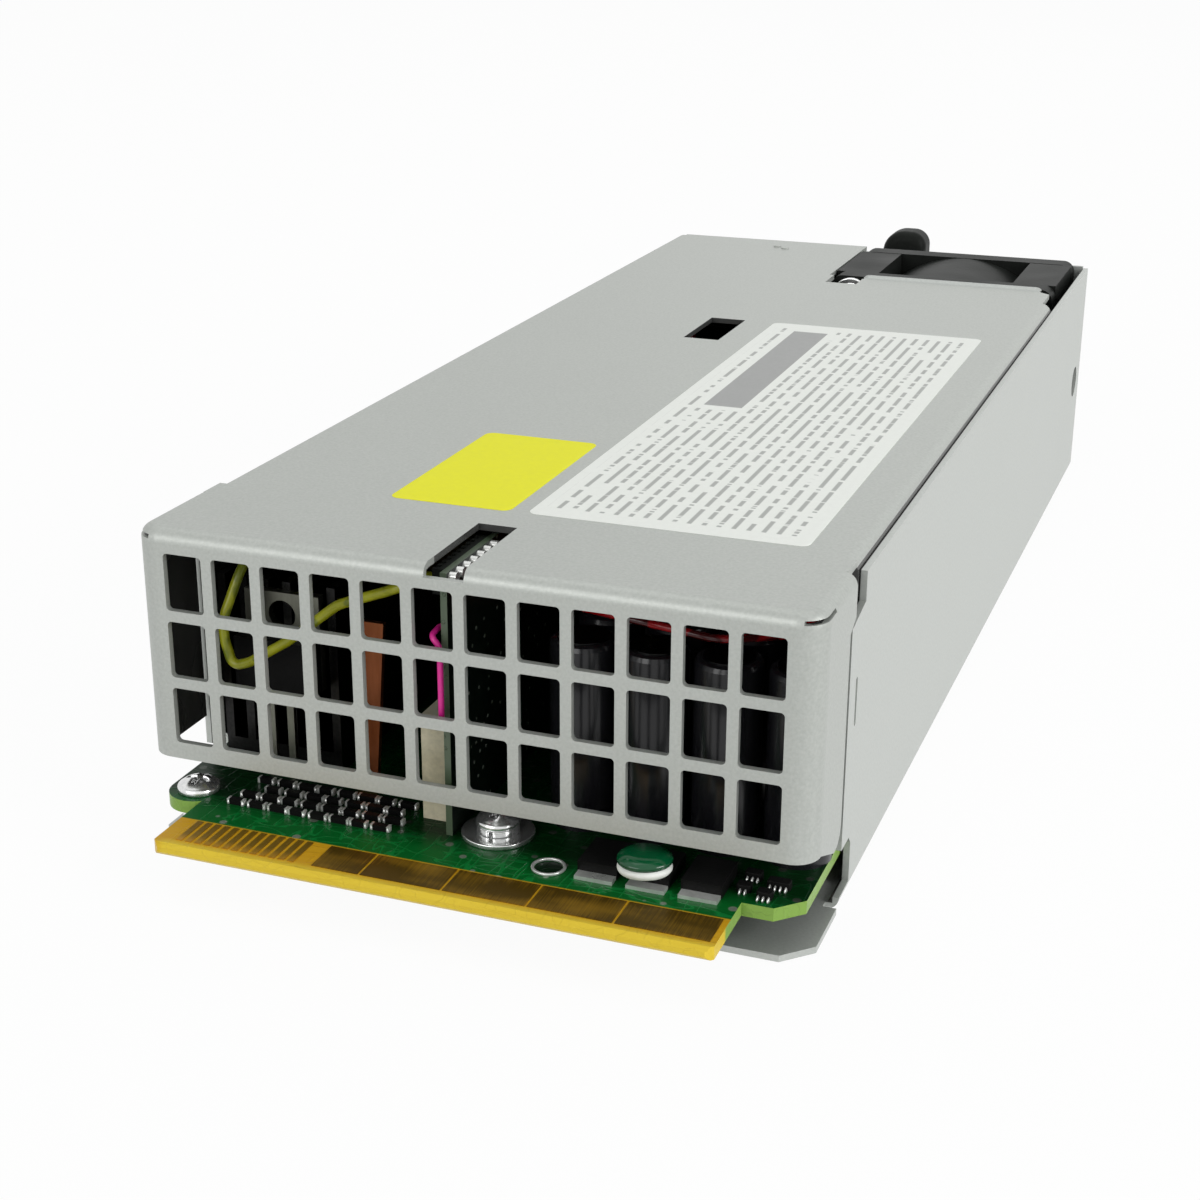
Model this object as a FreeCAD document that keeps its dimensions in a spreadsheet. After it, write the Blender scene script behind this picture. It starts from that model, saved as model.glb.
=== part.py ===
import FreeCAD, Part
import math
import os
import Sketcher

# Hot swap server power supply: a flat steel box that slides into a server bay. The grille
# and the card edge face -Y, the fan, the inlet, the handle and the latch face +Y.
# X is centred on the box, Z = 0 is the underside of the tray. All sizes are millimetres.

SIZES = [
    # casing
    ("case_width", 81.6), ("case_height", 40.3), ("case_length", 197.4), ("sheet", 0.8),
    ("bend_radius", 1.6), ("corner_radius", 3.0), ("seam", 0.3), ("slip", 0.1),
    ("tongue_front", -0.4), ("tongue_chamfer", 3.3), ("wall_front", 12.85), ("wall_step", 4.4),
    ("wall_top_gap", 1.3), ("wall_foot_top", 7.6), ("wall_neck_drop", 4.7), ("wall_neck_rise", 1.2),
    ("wall_relief", 1.0), ("neck_step", 6.0), ("joint_gap", 0.85), ("mark_height", 5.8),
    ("mark_width", 0.8), ("mark_low", 21.6), ("mark_back", 3.0), ("mark_depth", 0.25),
    ("side_hole_radius", 2.8), ("side_hole_back", 6.4), ("side_hole_height", 18.8),
    # grille in the folded front of the cover
    ("grille_columns", 12), ("grille_rows", 3), ("grille_margin", 4.02), ("grille_drop", 2.8),
    ("hole_width", 4.94), ("hole_height", 6.97), ("column_pitch", 6.26), ("row_pitch", 8.33),
    ("hole_corner", 0.5), ("grille_skirt", 2.1), ("ear_drop", 2.6), ("ear_corner", 2.4),
    ("ear_step", 2.3), ("ear_step_drop", 6.3), ("ear_step_rise", 1.2), ("corner_slot", 0.45),
    ("corner_end", 5.2), ("corner_start", 2.2), ("bump_x", -17.55), ("bump_y", 191.0),
    ("bump_step", 1.9), ("bump_radius", 0.7), ("bump_rise", 0.25),
    # cut-outs and folds of the cover
    ("notch_left", -3.95), ("notch_width", 4.8), ("notch_back", 15.2), ("notch_depth", 1.5),
    ("window_left", -10.85), ("window_width", 5.7), ("window_front", 112.0), ("window_length", 15.0),
    ("relief_depth", 1.1), ("relief_end", 18.2), ("side_fold_depth", 5.2), ("fan_gap", 0.3),
    ("lip_depth", 0.9), ("lip_corner", 1.8), ("lip_short", 0.5), ("screw_bay", 5.6),
    ("screw_bay_depth", 6.5), ("wall_bay_depth", 11.5),
    # fan
    ("fan_side", 39.5), ("fan_depth", 28.0), ("fan_wall_gap", 1.6), ("flange", 4.2),
    ("fan_corner", 2.0), ("duct_wall", 0.85), ("post_side", 7.6), ("tube_inset", 0.05),
    ("screw_inset", 3.75), ("fan_hole", 1.75), ("hub_radius", 9.4), ("hub_wall", 1.2),
    ("hub_length", 19.0), ("hub_round", 1.2), ("front_clear", 2.4), ("blade_clear", 1.1),
    ("blade_run", 15.0), ("blade_rise", 9.0), ("blade_bow", 1.6), ("blade_thickness", 1.0),
    ("blade_count", 7), ("blade_inset", 1.5), ("shaft_radius", 1.0), ("bearing_clear", 0.05),
    ("bearing_wall", 1.0), ("bearing_length", 13.0), ("mount_radius", 8.8), ("mount_thick", 2.6),
    ("strut_width", 2.6), ("strut_depth", 3.0), ("fan_screw_radius", 1.5), ("fan_head_radius", 2.4),
    ("fan_head_height", 1.6), ("fan_screw_bite", 12.0), ("nut_radius", 3.0), ("nut_height", 2.2),
    # rear panel
    ("panel_lift", 0.1), ("guard_rings", 4), ("guard_first", 3.6), ("guard_slot", 2.5),
    ("guard_pitch", 3.9), ("spoke_width", 2.2), ("lens_radius", 1.5), ("lens_x", -7.55),
    ("lens_drop", 4.9), ("lens_pitch", 6.0), ("lens_length", 9.0), ("lens_flange", 0.6),
    ("lens_nose", 0.7),
    # mains inlet
    ("inlet_x", -17.15), ("inlet_z", 16.2), ("inlet_width", 27.0), ("inlet_height", 19.6),
    ("inlet_flange", 2.0), ("inlet_brim", 1.2), ("inlet_corner", 2.0), ("socket_width", 24.2),
    ("socket_height", 16.0), ("socket_depth", 16.0), ("socket_bevel", 4.0), ("inlet_back", 2.6),
    ("pin_width", 2.0), ("pin_height", 4.0), ("pin_spread", 7.0), ("pin_offset", 2.0),
    ("pin_recess", 1.4), ("pin_tail", 7.0),
    # handle
    ("grip_width", 8.6), ("grip_depth", 7.2), ("grip_reach", 18.0), ("grip_top", 40.8),
    ("grip_bottom", 1.0), ("arm_height", 5.0), ("arm_spread", 8.15), ("foot_thick", 2.2),
    ("grip_round", 3.4), ("grip_wide_round", 4.1), ("grip_tight_round", 3.0), ("grip_edge", 1.9),
    ("arm_relief", 0.8), ("foot_drop", 0.4),
    # release latch
    ("latch_inset", 3.35), ("latch_thick", 1.6), ("latch_low", 9.0), ("latch_height", 22.0),
    ("pivot_back", 19.4), ("pivot_radius", 1.2), ("barrel_wall", 1.0), ("pivot_clear", 0.05),
    ("tab_reach", 12.5), ("tab_thick", 2.6), ("tab_gap", 1.0), ("hook_out", 1.2), ("hook_back", 7.4),
    ("hook_length", 5.0), ("hook_height", 8.0), ("hook_ramp", 3.0), ("tab_round", 3.0),
    ("latch_swing", 5.5), ("latch_clear", 0.6), ("spring_radius", 2.0), ("spring_wire", 0.45),
    ("spring_turns", 4), ("spring_back", 10.0), ("pin_rise", 1.5), ("pin_play", 0.3),
    # main board
    ("board_lift", 4.9), ("board_thick", 1.6), ("board_gap", 0.35), ("board_front", -0.5),
    ("board_back", 164.0), ("tongue_left", -34.05), ("tongue_right", 33.15), ("tongue_reach", 10.6),
    ("tongue_bevel", 0.5), ("tongue_nick", 0.8), ("edge_chamfer", 2.9), ("lobe_y", 2.9),
    ("lobe_radius", 3.5), ("contact_thick", 0.08), ("contact_length", 4.95),
    ("contact_setback", 1.45), ("signal_count", 13), ("signal_pitch", 1.2), ("signal_width", 0.75),
    ("signal_left", -31.6), ("short_left", -14.15), ("short_width", 5.7), ("power_count", 3),
    ("power_left", -8.15), ("power_pitch", 10.0), ("power_width", 9.7), ("last_extra", 0.9),
    # board fasteners
    ("screw_y", 5.0), ("left_screw_inset", 3.6), ("left_screw_y", 2.9), ("mid_screw_x", 2.35),
    ("rear_screw_y", 150.0), ("screw_shank", 1.5), ("screw_play", 0.1), ("head_radius", 2.6),
    ("head_height", 1.7), ("spring_washer_radius", 2.5), ("spring_washer_thick", 0.8),
    ("spring_washer_gap", 0.5), ("washer_radius", 4.3), ("washer_thick", 0.6), ("post_radius", 2.1),
    # daughter board
    ("card_x", -2.75), ("card_thick", 0.8), ("card_front", 2.6), ("card_length", 52.0),
    ("card_drop", 0.9), ("blob_count", 7), ("blob_radius", 0.6), ("blob_pitch", 1.9),
    ("blob_start", 1.0), ("blob_out", 0.9), ("header_thick", 1.4), ("header_length", 13.5),
    ("header_height", 3.0), ("header_teeth", 9), ("header_pitch", 1.3),
    # packages at the front of the board
    ("fet_count", 3), ("fet_left", 14.25), ("fet_pitch", 6.02), ("fet_width", 4.65),
    ("fet_length", 6.0), ("fet_height", 1.6), ("fet_front", -0.6), ("tab_length", 1.4),
    ("tab_height", 0.45), ("chip_rows", 4), ("chip_columns", 8), ("chip_length", 1.6),
    ("chip_width", 0.8), ("chip_height", 0.7), ("chip_end", 0.3), ("chip_left", -30.55),
    ("chip_front", 0.6), ("chip_pitch_x", 2.7), ("chip_pitch_y", 2.1), ("disc_x", 21.95),
    ("disc_y", -0.1), ("disc_radius", 3.2), ("disc_thick", 1.3), ("dab_thick", 1.1),
    ("dab_inset", 0.25), ("ring_x", 10.85), ("ring_y", -0.7), ("ring_outer", 2.0),
    ("ring_inner", 1.65), ("ring_height", 0.35),
    # upright transistors
    ("triode_x", -28.55), ("triode_y", 12.0), ("triode_width", 10.0), ("triode_tab", 1.3),
    ("triode_top", 29.6), ("triode_hole", 1.8), ("triode_hole_drop", 2.8), ("triode_mould", 3.1),
    ("mould_top", 24.5), ("mould_foot", 17.5), ("leg_pitch", 2.6), ("leg_width", 0.9),
    ("leg_thick", 0.6),
    # output capacitors
    ("can_count", 4), ("can_radius", 3.9), ("can_top", 29.4), ("can_wall_gap", 0.25),
    ("can_pitch", 8.6), ("can_y", 12.5), ("can_round", 0.7), ("can_groove", 0.35), ("can_rows", 2),
    ("can_row_pitch", 9.2),
    # magnetics
    ("core_x", -7.55), ("core_y", 78.0), ("core_width", 28.0), ("core_length", 26.0),
    ("core_height", 27.0), ("core_leg", 5.0), ("coil_gap", 0.4), ("coil_round", 2.0),
    ("strap_x", -16.15), ("strap_y", 10.0), ("strap_width", 4.2), ("strap_thick", 0.8),
    ("strap_top", 28.3), ("strap_taper", 1.6), ("relay_width", 3.4), ("relay_length", 12.0),
    ("relay_front", 5.6), ("relay_top", 18.6), ("relay_gap", 0.9), ("cap_flange", 0.9),
    ("choke_inset", 19.45), ("choke_y", 146.0), ("choke_outer", 12.5), ("choke_inner", 5.5),
    ("choke_height", 12.0), ("choke_cover", 1.3),
    # heat sinks and big parts further in
    ("sink_inset", 10.0), ("sink_width", 16.0), ("sink_length", 48.0), ("sink_height", 24.0),
    ("sink_base", 2.4), ("fin_count", 6), ("fin_thick", 1.1), ("back_sink_inset", 19.55),
    ("back_sink_y", 32.0), ("back_sink_length", 56.0), ("bulk_radius", 14.5), ("bulk_x", -3.55),
    ("bulk_length", 42.0), ("bulk_y", 112.0), ("bulk_round", 1.4), ("bulk_groove", 0.8),
    ("film_x", 6.45), ("film_y", 140.0), ("film_width", 26.0), ("film_length", 11.0),
    ("film_height", 19.0), ("film_round", 1.0), ("fuse_inset", 7.45), ("fuse_y", 98.0),
    ("fuse_radius", 2.6), ("fuse_length", 20.0), ("fuse_cap", 4.0), ("bridge_inset", 11.55),
    ("bridge_y", 112.0), ("bridge_width", 22.0), ("bridge_thick", 4.0), ("bridge_height", 17.0),
    ("stand", 2.0),
    # wires and film
    ("plug_width", 8.0), ("plug_height", 6.0), ("plug_length", 6.0), ("plug_setback", 3.0),
    ("lead_pitch", 2.2), ("lead_rise", 6.4), ("lead_margin", 2.4), ("red_count", 5),
    ("red_drop", 8.5), ("red_lift", 1.05), ("red_shift", 2.6), ("red_wall_gap", 3.6),
    ("wire_radius", 1.0), ("earth_radius", 0.6), ("thin_wire_radius", 0.45), ("sense_radius", 0.35),
    ("film_sheet", 0.4), ("film_gap", 0.6),
]

doc = FreeCAD.newDocument("server_power_supply")
sheet = doc.addObject("Spreadsheet::Sheet", "Sizes")
for row, (name, number) in enumerate(SIZES, start=1):
    sheet.set("A%d" % row, name)
    sheet.set("B%d" % row, str(number))
    sheet.setAlias("B%d" % row, name)
doc.recompute()
pieces = []


class Length:
    """A length that knows its number and the sheet formula behind it."""

    def __init__(self, value, formula):
        self.value = float(value)
        self.formula = formula

    def __add__(self, other):
        return Length(self.value + number_of(other), joined(self, "+", other))

    def __radd__(self, other):
        return Length(number_of(other) + self.value, joined(other, "+", self))

    def __sub__(self, other):
        return Length(self.value - number_of(other), joined(self, "-", other))

    def __rsub__(self, other):
        return Length(number_of(other) - self.value, joined(other, "-", self))

    def __mul__(self, other):
        return Length(self.value * number_of(other), joined(self, "*", other))

    def __rmul__(self, other):
        return Length(number_of(other) * self.value, joined(other, "*", self))

    def __truediv__(self, other):
        return Length(self.value / number_of(other), joined(self, "/", other))

    def __neg__(self):
        return Length(-self.value, joined(-1.0, "*", self))


def number_of(length):
    """The plain number of a Length or a number."""
    return length.value if isinstance(length, Length) else float(length)


def formula_of(length):
    """The sheet formula of a Length or a number."""
    return length.formula if isinstance(length, Length) else "%.6f" % length


def joined(first, sign, second):
    """Two formulas joined by an arithmetic sign."""
    return "(%s %s %s)" % (formula_of(first), sign, formula_of(second))


def cell(name):
    """The Length held by one named cell of the sheet."""
    return Length(sheet.get(name), "Sizes." + name)


def count_of(name):
    """The whole number held by one named cell."""
    return int(round(sheet.get(name)))


def bind(thing, setting, length):
    """Tie one setting of a document object to a formula of the sheet."""
    thing.setExpression(setting, formula_of(length))


def place(thing, x=0, y=0, z=0):
    """Tie the position of an object to formulas."""
    for axis, length in (("x", x), ("y", y), ("z", z)):
        bind(thing, "Placement.Base." + axis, length)


# ---- Part primitives ---------------------------------------------------------------------

def box(label, x, y, z):
    """A block given by its (low, high) pairs along X, Y and Z."""
    block = doc.addObject("Part::Box", label)
    for setting, (low, high) in (("Length", x), ("Width", y), ("Height", z)):
        bind(block, setting, high - low)
    place(block, x[0], y[0], z[0])
    return block


TURNS = {
    "x": FreeCAD.Rotation(FreeCAD.Vector(0, 1, 0), 90),
    "y": FreeCAD.Rotation(FreeCAD.Vector(1, 0, 0), -90),
    "z": FreeCAD.Rotation(),
}


def rod(label, axis, radius, start, end, across):
    """A cylinder along one axis from start to end; across holds its two other coordinates."""
    cylinder = doc.addObject("Part::Cylinder", label)
    cylinder.Placement = FreeCAD.Placement(FreeCAD.Vector(), TURNS[axis])
    bind(cylinder, "Radius", radius)
    bind(cylinder, "Height", end - start)
    spot = {"x": (start, across[0], across[1]), "y": (across[0], start, across[1]),
            "z": (across[0], across[1], start)}[axis]
    place(cylinder, *spot)
    return cylinder


def fuse(label, shapes):
    """Several shapes joined to one solid."""
    union = doc.addObject("Part::MultiFuse", label)
    union.Shapes = shapes
    union.Refine = True
    return union


def cut(label, base, tool):
    """A shape with another one taken away."""
    rest = doc.addObject("Part::Cut", label)
    rest.Base = base
    rest.Tool = tool
    rest.Refine = True
    return rest


def group(label, shapes):
    """Like pieces kept together in one node as separate solids."""
    set_of = doc.addObject("Part::Compound", label)
    set_of.Links = shapes
    return keep(set_of, label)


def keep(piece, label):
    """Name a finished sub-part and list it for export."""
    piece.Label = label
    pieces.append(piece)
    return piece


# ---- PartDesign helpers ------------------------------------------------------------------

def new_body(label):
    """A new body whose label is the name of its sub-part."""
    body = doc.addObject("PartDesign::Body", label)
    return keep(body, label)


def origin_feature(body, role):
    """A plane or axis of the body's own origin, such as XY_Plane or Y_Axis."""
    return [item for item in body.Origin.OriginFeatures if item.Role == role][0]


def sketch_on(body, role, offset=0):
    """A sketch on an origin plane, moved along that plane's normal."""
    sketch = body.newObject("Sketcher::SketchObject", "Sketch")
    sketch.AttachmentSupport = (origin_feature(body, role), [""])
    sketch.MapMode = "FlatFace"
    bind(sketch, "AttachmentOffset.Base.z", offset)
    return sketch


def pin_point(sketch, geometry, end, x, y):
    """Hold one point of a sketch at coordinates tied to the sheet."""
    for kind, axis, length in (("DistanceX", -2, x), ("DistanceY", -1, y)):
        if isinstance(length, Length):
            limit = Sketcher.Constraint(kind, -1, 1, geometry, end, length.value)
            index = sketch.addConstraint(limit)
            bind(sketch, "Constraints[%d]" % index, length)
        elif length == 0:
            sketch.addConstraint(Sketcher.Constraint("PointOnObject", geometry, end, axis))
        else:
            sketch.addConstraint(Sketcher.Constraint(kind, -1, 1, geometry, end, float(length)))


def vector(x, y, z=0):
    """A FreeCAD vector from lengths or numbers."""
    return FreeCAD.Vector(number_of(x), number_of(y), number_of(z))


def outline(sketch, corners):
    """A closed run of straight edges through corners, each corner tied to the sheet."""
    first = sketch.GeometryCount
    total = len(corners)
    for index in range(total):
        start, end = vector(*corners[index]), vector(*corners[(index + 1) % total])
        sketch.addGeometry(Part.LineSegment(start, end), False)
    for index in range(total):
        after = first + (index + 1) % total
        sketch.addConstraint(Sketcher.Constraint("Coincident", first + index, 2, after, 1))
    for index, (x, y) in enumerate(corners):
        pin_point(sketch, first + index, 1, x, y)


def rectangle(sketch, x, y):
    """A rectangle from (low, high) pairs."""
    outline(sketch, [(x[0], y[0]), (x[1], y[0]), (x[1], y[1]), (x[0], y[1])])


def circle(sketch, x, y, radius):
    """A circle tied to the sheet."""
    index = sketch.addGeometry(
        Part.Circle(vector(x, y), FreeCAD.Vector(0, 0, 1), number_of(radius)), False)
    pin_point(sketch, index, 3, x, y)
    limit = sketch.addConstraint(Sketcher.Constraint("Radius", index, number_of(radius)))
    bind(sketch, "Constraints[%d]" % limit, radius)


def rounded_rectangle(sketch, x, y, radius):
    """A rectangle whose corners are quarter circles of the given radius."""
    first = sketch.GeometryCount
    corners = [(x[1], y[0], -1, 1), (x[1], y[1], -1, -1), (x[0], y[1], 1, -1), (x[0], y[0], 1, 1)]
    ends = []
    for turn, (cx, cy, sx, sy) in enumerate(corners):
        mid = (cx + sx * radius, cy + sy * radius)
        before, after = ((mid[0], cy), (cx, mid[1]))
        if turn % 2:
            before, after = after, before
        ends.append((before, after, mid))
    for turn in range(4):
        start, end = ends[turn - 1][1], ends[turn][0]
        sketch.addGeometry(Part.LineSegment(vector(*start), vector(*end)), False)
    for turn, (before, after, mid) in enumerate(ends):
        angle = math.radians(-90 + 90 * turn)
        ring = Part.Circle(vector(*mid), FreeCAD.Vector(0, 0, 1), number_of(radius))
        sketch.addGeometry(Part.ArcOfCircle(ring, angle, angle + math.pi / 2), False)
    for turn in range(4):
        line, arc, following = first + turn, first + 4 + turn, first + (turn + 1) % 4
        sketch.addConstraint(Sketcher.Constraint("Coincident", line, 2, arc, 1))
        sketch.addConstraint(Sketcher.Constraint("Coincident", arc, 2, following, 1))
        pin_point(sketch, line, 1, *ends[turn - 1][1])
        pin_point(sketch, line, 2, *ends[turn][0])
        limit = sketch.addConstraint(Sketcher.Constraint("Radius", arc, number_of(radius)))
        bind(sketch, "Constraints[%d]" % limit, radius)


def raised(body, kind, sketch, length, backwards=False, both=False):
    """A pad or pocket of a sketch; both sets it off to either side of the sketch."""
    feature = body.newObject("PartDesign::" + kind, kind)
    feature.Profile = sketch
    bind(feature, "Length", length)
    feature.Reversed = backwards
    if both:
        feature.SideType = "Symmetric"
    doc.recompute()
    body.Tip = feature
    return feature


def pad(body, sketch, length, backwards=False, both=False):
    """Material added along the sketch's normal."""
    return raised(body, "Pad", sketch, length, backwards, both)


def pocket(body, sketch, length, backwards=False, both=False):
    """Material taken away; the body must lose volume."""
    before = body.Shape.Volume
    feature = raised(body, "Pocket", sketch, length, backwards, both)
    if not feature.Shape.Volume < before:
        raise ValueError("a pocket of %s cuts nothing" % body.Label)
    return feature


def turned(body, kind, sketch, axis="H_Axis"):
    """A full turn of a sketch about one of its own axes."""
    feature = body.newObject("PartDesign::" + kind, kind)
    feature.Profile = sketch
    feature.ReferenceAxis = (sketch, [axis])
    feature.Angle = 360
    doc.recompute()
    body.Tip = feature
    return feature


def edges_at(body, direction, **place_of):
    """Names of the tip's straight edges along one axis that lie at the given coordinates."""
    names = []
    for index, edge in enumerate(body.Tip.Shape.Edges, start=1):
        if len(edge.Vertexes) != 2 or not isinstance(edge.Curve, Part.Line):
            continue
        ends = [vertex.Point for vertex in edge.Vertexes]
        span = ends[1] - ends[0]
        along = abs(getattr(span.normalize(), direction))
        spots = [[number_of(spot) for spot in listed] for listed in place_of.values()]
        near = all(
            any(abs(getattr(end, axis) - spot) < 0.01 for spot in wanted)
            for axis, wanted in zip(place_of, spots) for end in ends)
        if along > 0.999 and near:
            names.append("Edge%d" % index)
    if not names:
        raise ValueError("no edge of %s matches" % body.Label)
    return names


def rounded(body, names, radius):
    """A fillet on named edges of the body's tip."""
    base = body.Tip
    feature = body.newObject("PartDesign::Fillet", "Fillet")
    feature.Base = (base, names)
    bind(feature, "Radius", radius)
    doc.recompute()
    body.Tip = feature
    return feature


def bevelled(body, names, size):
    """A chamfer on named edges of the body's tip."""
    base = body.Tip
    feature = body.newObject("PartDesign::Chamfer", "Chamfer")
    feature.Base = (base, names)
    bind(feature, "Size", size)
    doc.recompute()
    body.Tip = feature
    return feature


def repeated(body, feature, axis, pitch, total):
    """A straight pattern of a feature along an origin axis."""
    pattern = body.newObject("PartDesign::LinearPattern", "LinearPattern")
    pattern.Originals = [feature]
    pattern.Direction = (origin_feature(body, axis), [""])
    bind(pattern, "Length", pitch * (total - 1))
    pattern.Occurrences = int(number_of(total))
    doc.recompute()
    body.Tip = pattern
    return pattern


# ---- shared places -----------------------------------------------------------------------

half = cell("case_width") / 2
inner = half - cell("sheet")
height = cell("case_height")
length = cell("case_length")
steel = cell("sheet")
under_cover = height - steel
board_low = cell("board_lift")
board_top = board_low + cell("board_thick")
panel_face = length - steel
fan_front = panel_face - cell("fan_depth")
fan_z = steel + cell("fan_side") / 2
fan_x = inner - cell("fan_wall_gap") - cell("fan_side") / 2
duct_radius = cell("fan_side") / 2 - cell("duct_wall")
screw_reach = cell("fan_side") / 2 - cell("screw_inset")
lens_z = under_cover - cell("lens_drop")
card_top = under_cover - cell("card_drop")
latch_x = cell("latch_inset") - half
board_side = inner - cell("board_gap")
fan_left = fan_x - cell("fan_side") / 2
fan_right = fan_x + cell("fan_side") / 2
grille_bottom = (height - cell("grille_drop") - cell("row_pitch") * (cell("grille_rows") - 1)
                 - cell("hole_height") - cell("grille_skirt"))
fold_outer = inner - cell("slip")
seam = cell("seam")
ear_back = cell("wall_front") - cell("joint_gap")


def mirrored(corners):
    """The corners of a right half joined to their mirror image about X = 0."""
    return corners + [(-x, y) for x, y in reversed(corners)]


# ---- casing ------------------------------------------------------------------------------

def make_base_tray():
    """The tray: a U of sheet steel with a front tongue, cut side walls and a latch slot."""
    body = new_body("base_tray")
    wall_top = height - cell("wall_top_gap")
    front = cell("wall_front")
    section = sketch_on(body, "XZ_Plane", -front)
    outline(section, mirrored([(inner, steel), (inner, wall_top), (half, wall_top), (half, 0)]))
    pad(body, section, length - front, backwards=True)
    bend = cell("bend_radius")
    rounded(body, edges_at(body, "y", x=[-half, half], z=[0]), bend)
    rounded(body, edges_at(body, "y", x=[-inner, inner], z=[steel]), bend - steel)
    chamfer, lip = cell("tongue_chamfer"), cell("tongue_front")
    relief = front - cell("wall_relief")
    tongue = sketch_on(body, "XY_Plane")
    outline(tongue, mirrored([(half - chamfer, lip), (half, lip + chamfer), (half, relief),
                              (half - bend, relief), (half - bend, front)]))
    pad(body, tongue, steel)
    notch = sketch_on(body, "YZ_Plane")
    foot_back = front + cell("wall_step")
    foot_top = cell("wall_foot_top")
    outline(notch, [(front - 1, bend), (foot_back, bend), (foot_back, foot_top - 1),
                    (foot_back - 1, foot_top), (front - 1, foot_top)])
    neck = wall_top - cell("wall_neck_drop")
    neck_back = front + cell("neck_step")
    outline(notch, [(front - 1, wall_top + 1), (neck_back, wall_top + 1),
                    (neck_back, neck + cell("wall_neck_rise")), (front, neck), (front - 1, neck)])
    pocket(body, notch, cell("case_width") + 2, both=True)
    for side, inwards in ((half, False), (-half, True)):
        mark = sketch_on(body, "YZ_Plane", side)
        start, low = front + cell("mark_back"), cell("mark_low")
        rounded_rectangle(mark, (start, start + cell("mark_width")),
                          (low, low + cell("mark_height")), cell("mark_width") * 0.4)
        pocket(body, mark, cell("mark_depth"), backwards=inwards)
    hole = sketch_on(body, "YZ_Plane", half + 1)
    circle(hole, length - cell("side_hole_back"), cell("side_hole_height"),
           cell("side_hole_radius"))
    pocket(body, hole, steel + 2)
    slot = sketch_on(body, "YZ_Plane", -half - 1)
    play = cell("latch_clear")
    hook_y = panel_face - cell("hook_back")
    middle = cell("latch_low") + cell("latch_height") / 2
    reach = cell("hook_height") / 2 + play
    rectangle(slot, (hook_y - play, hook_y + cell("hook_length") + play),
              (middle - reach, middle + reach))
    pocket(body, slot, steel + 2, backwards=True)


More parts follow.
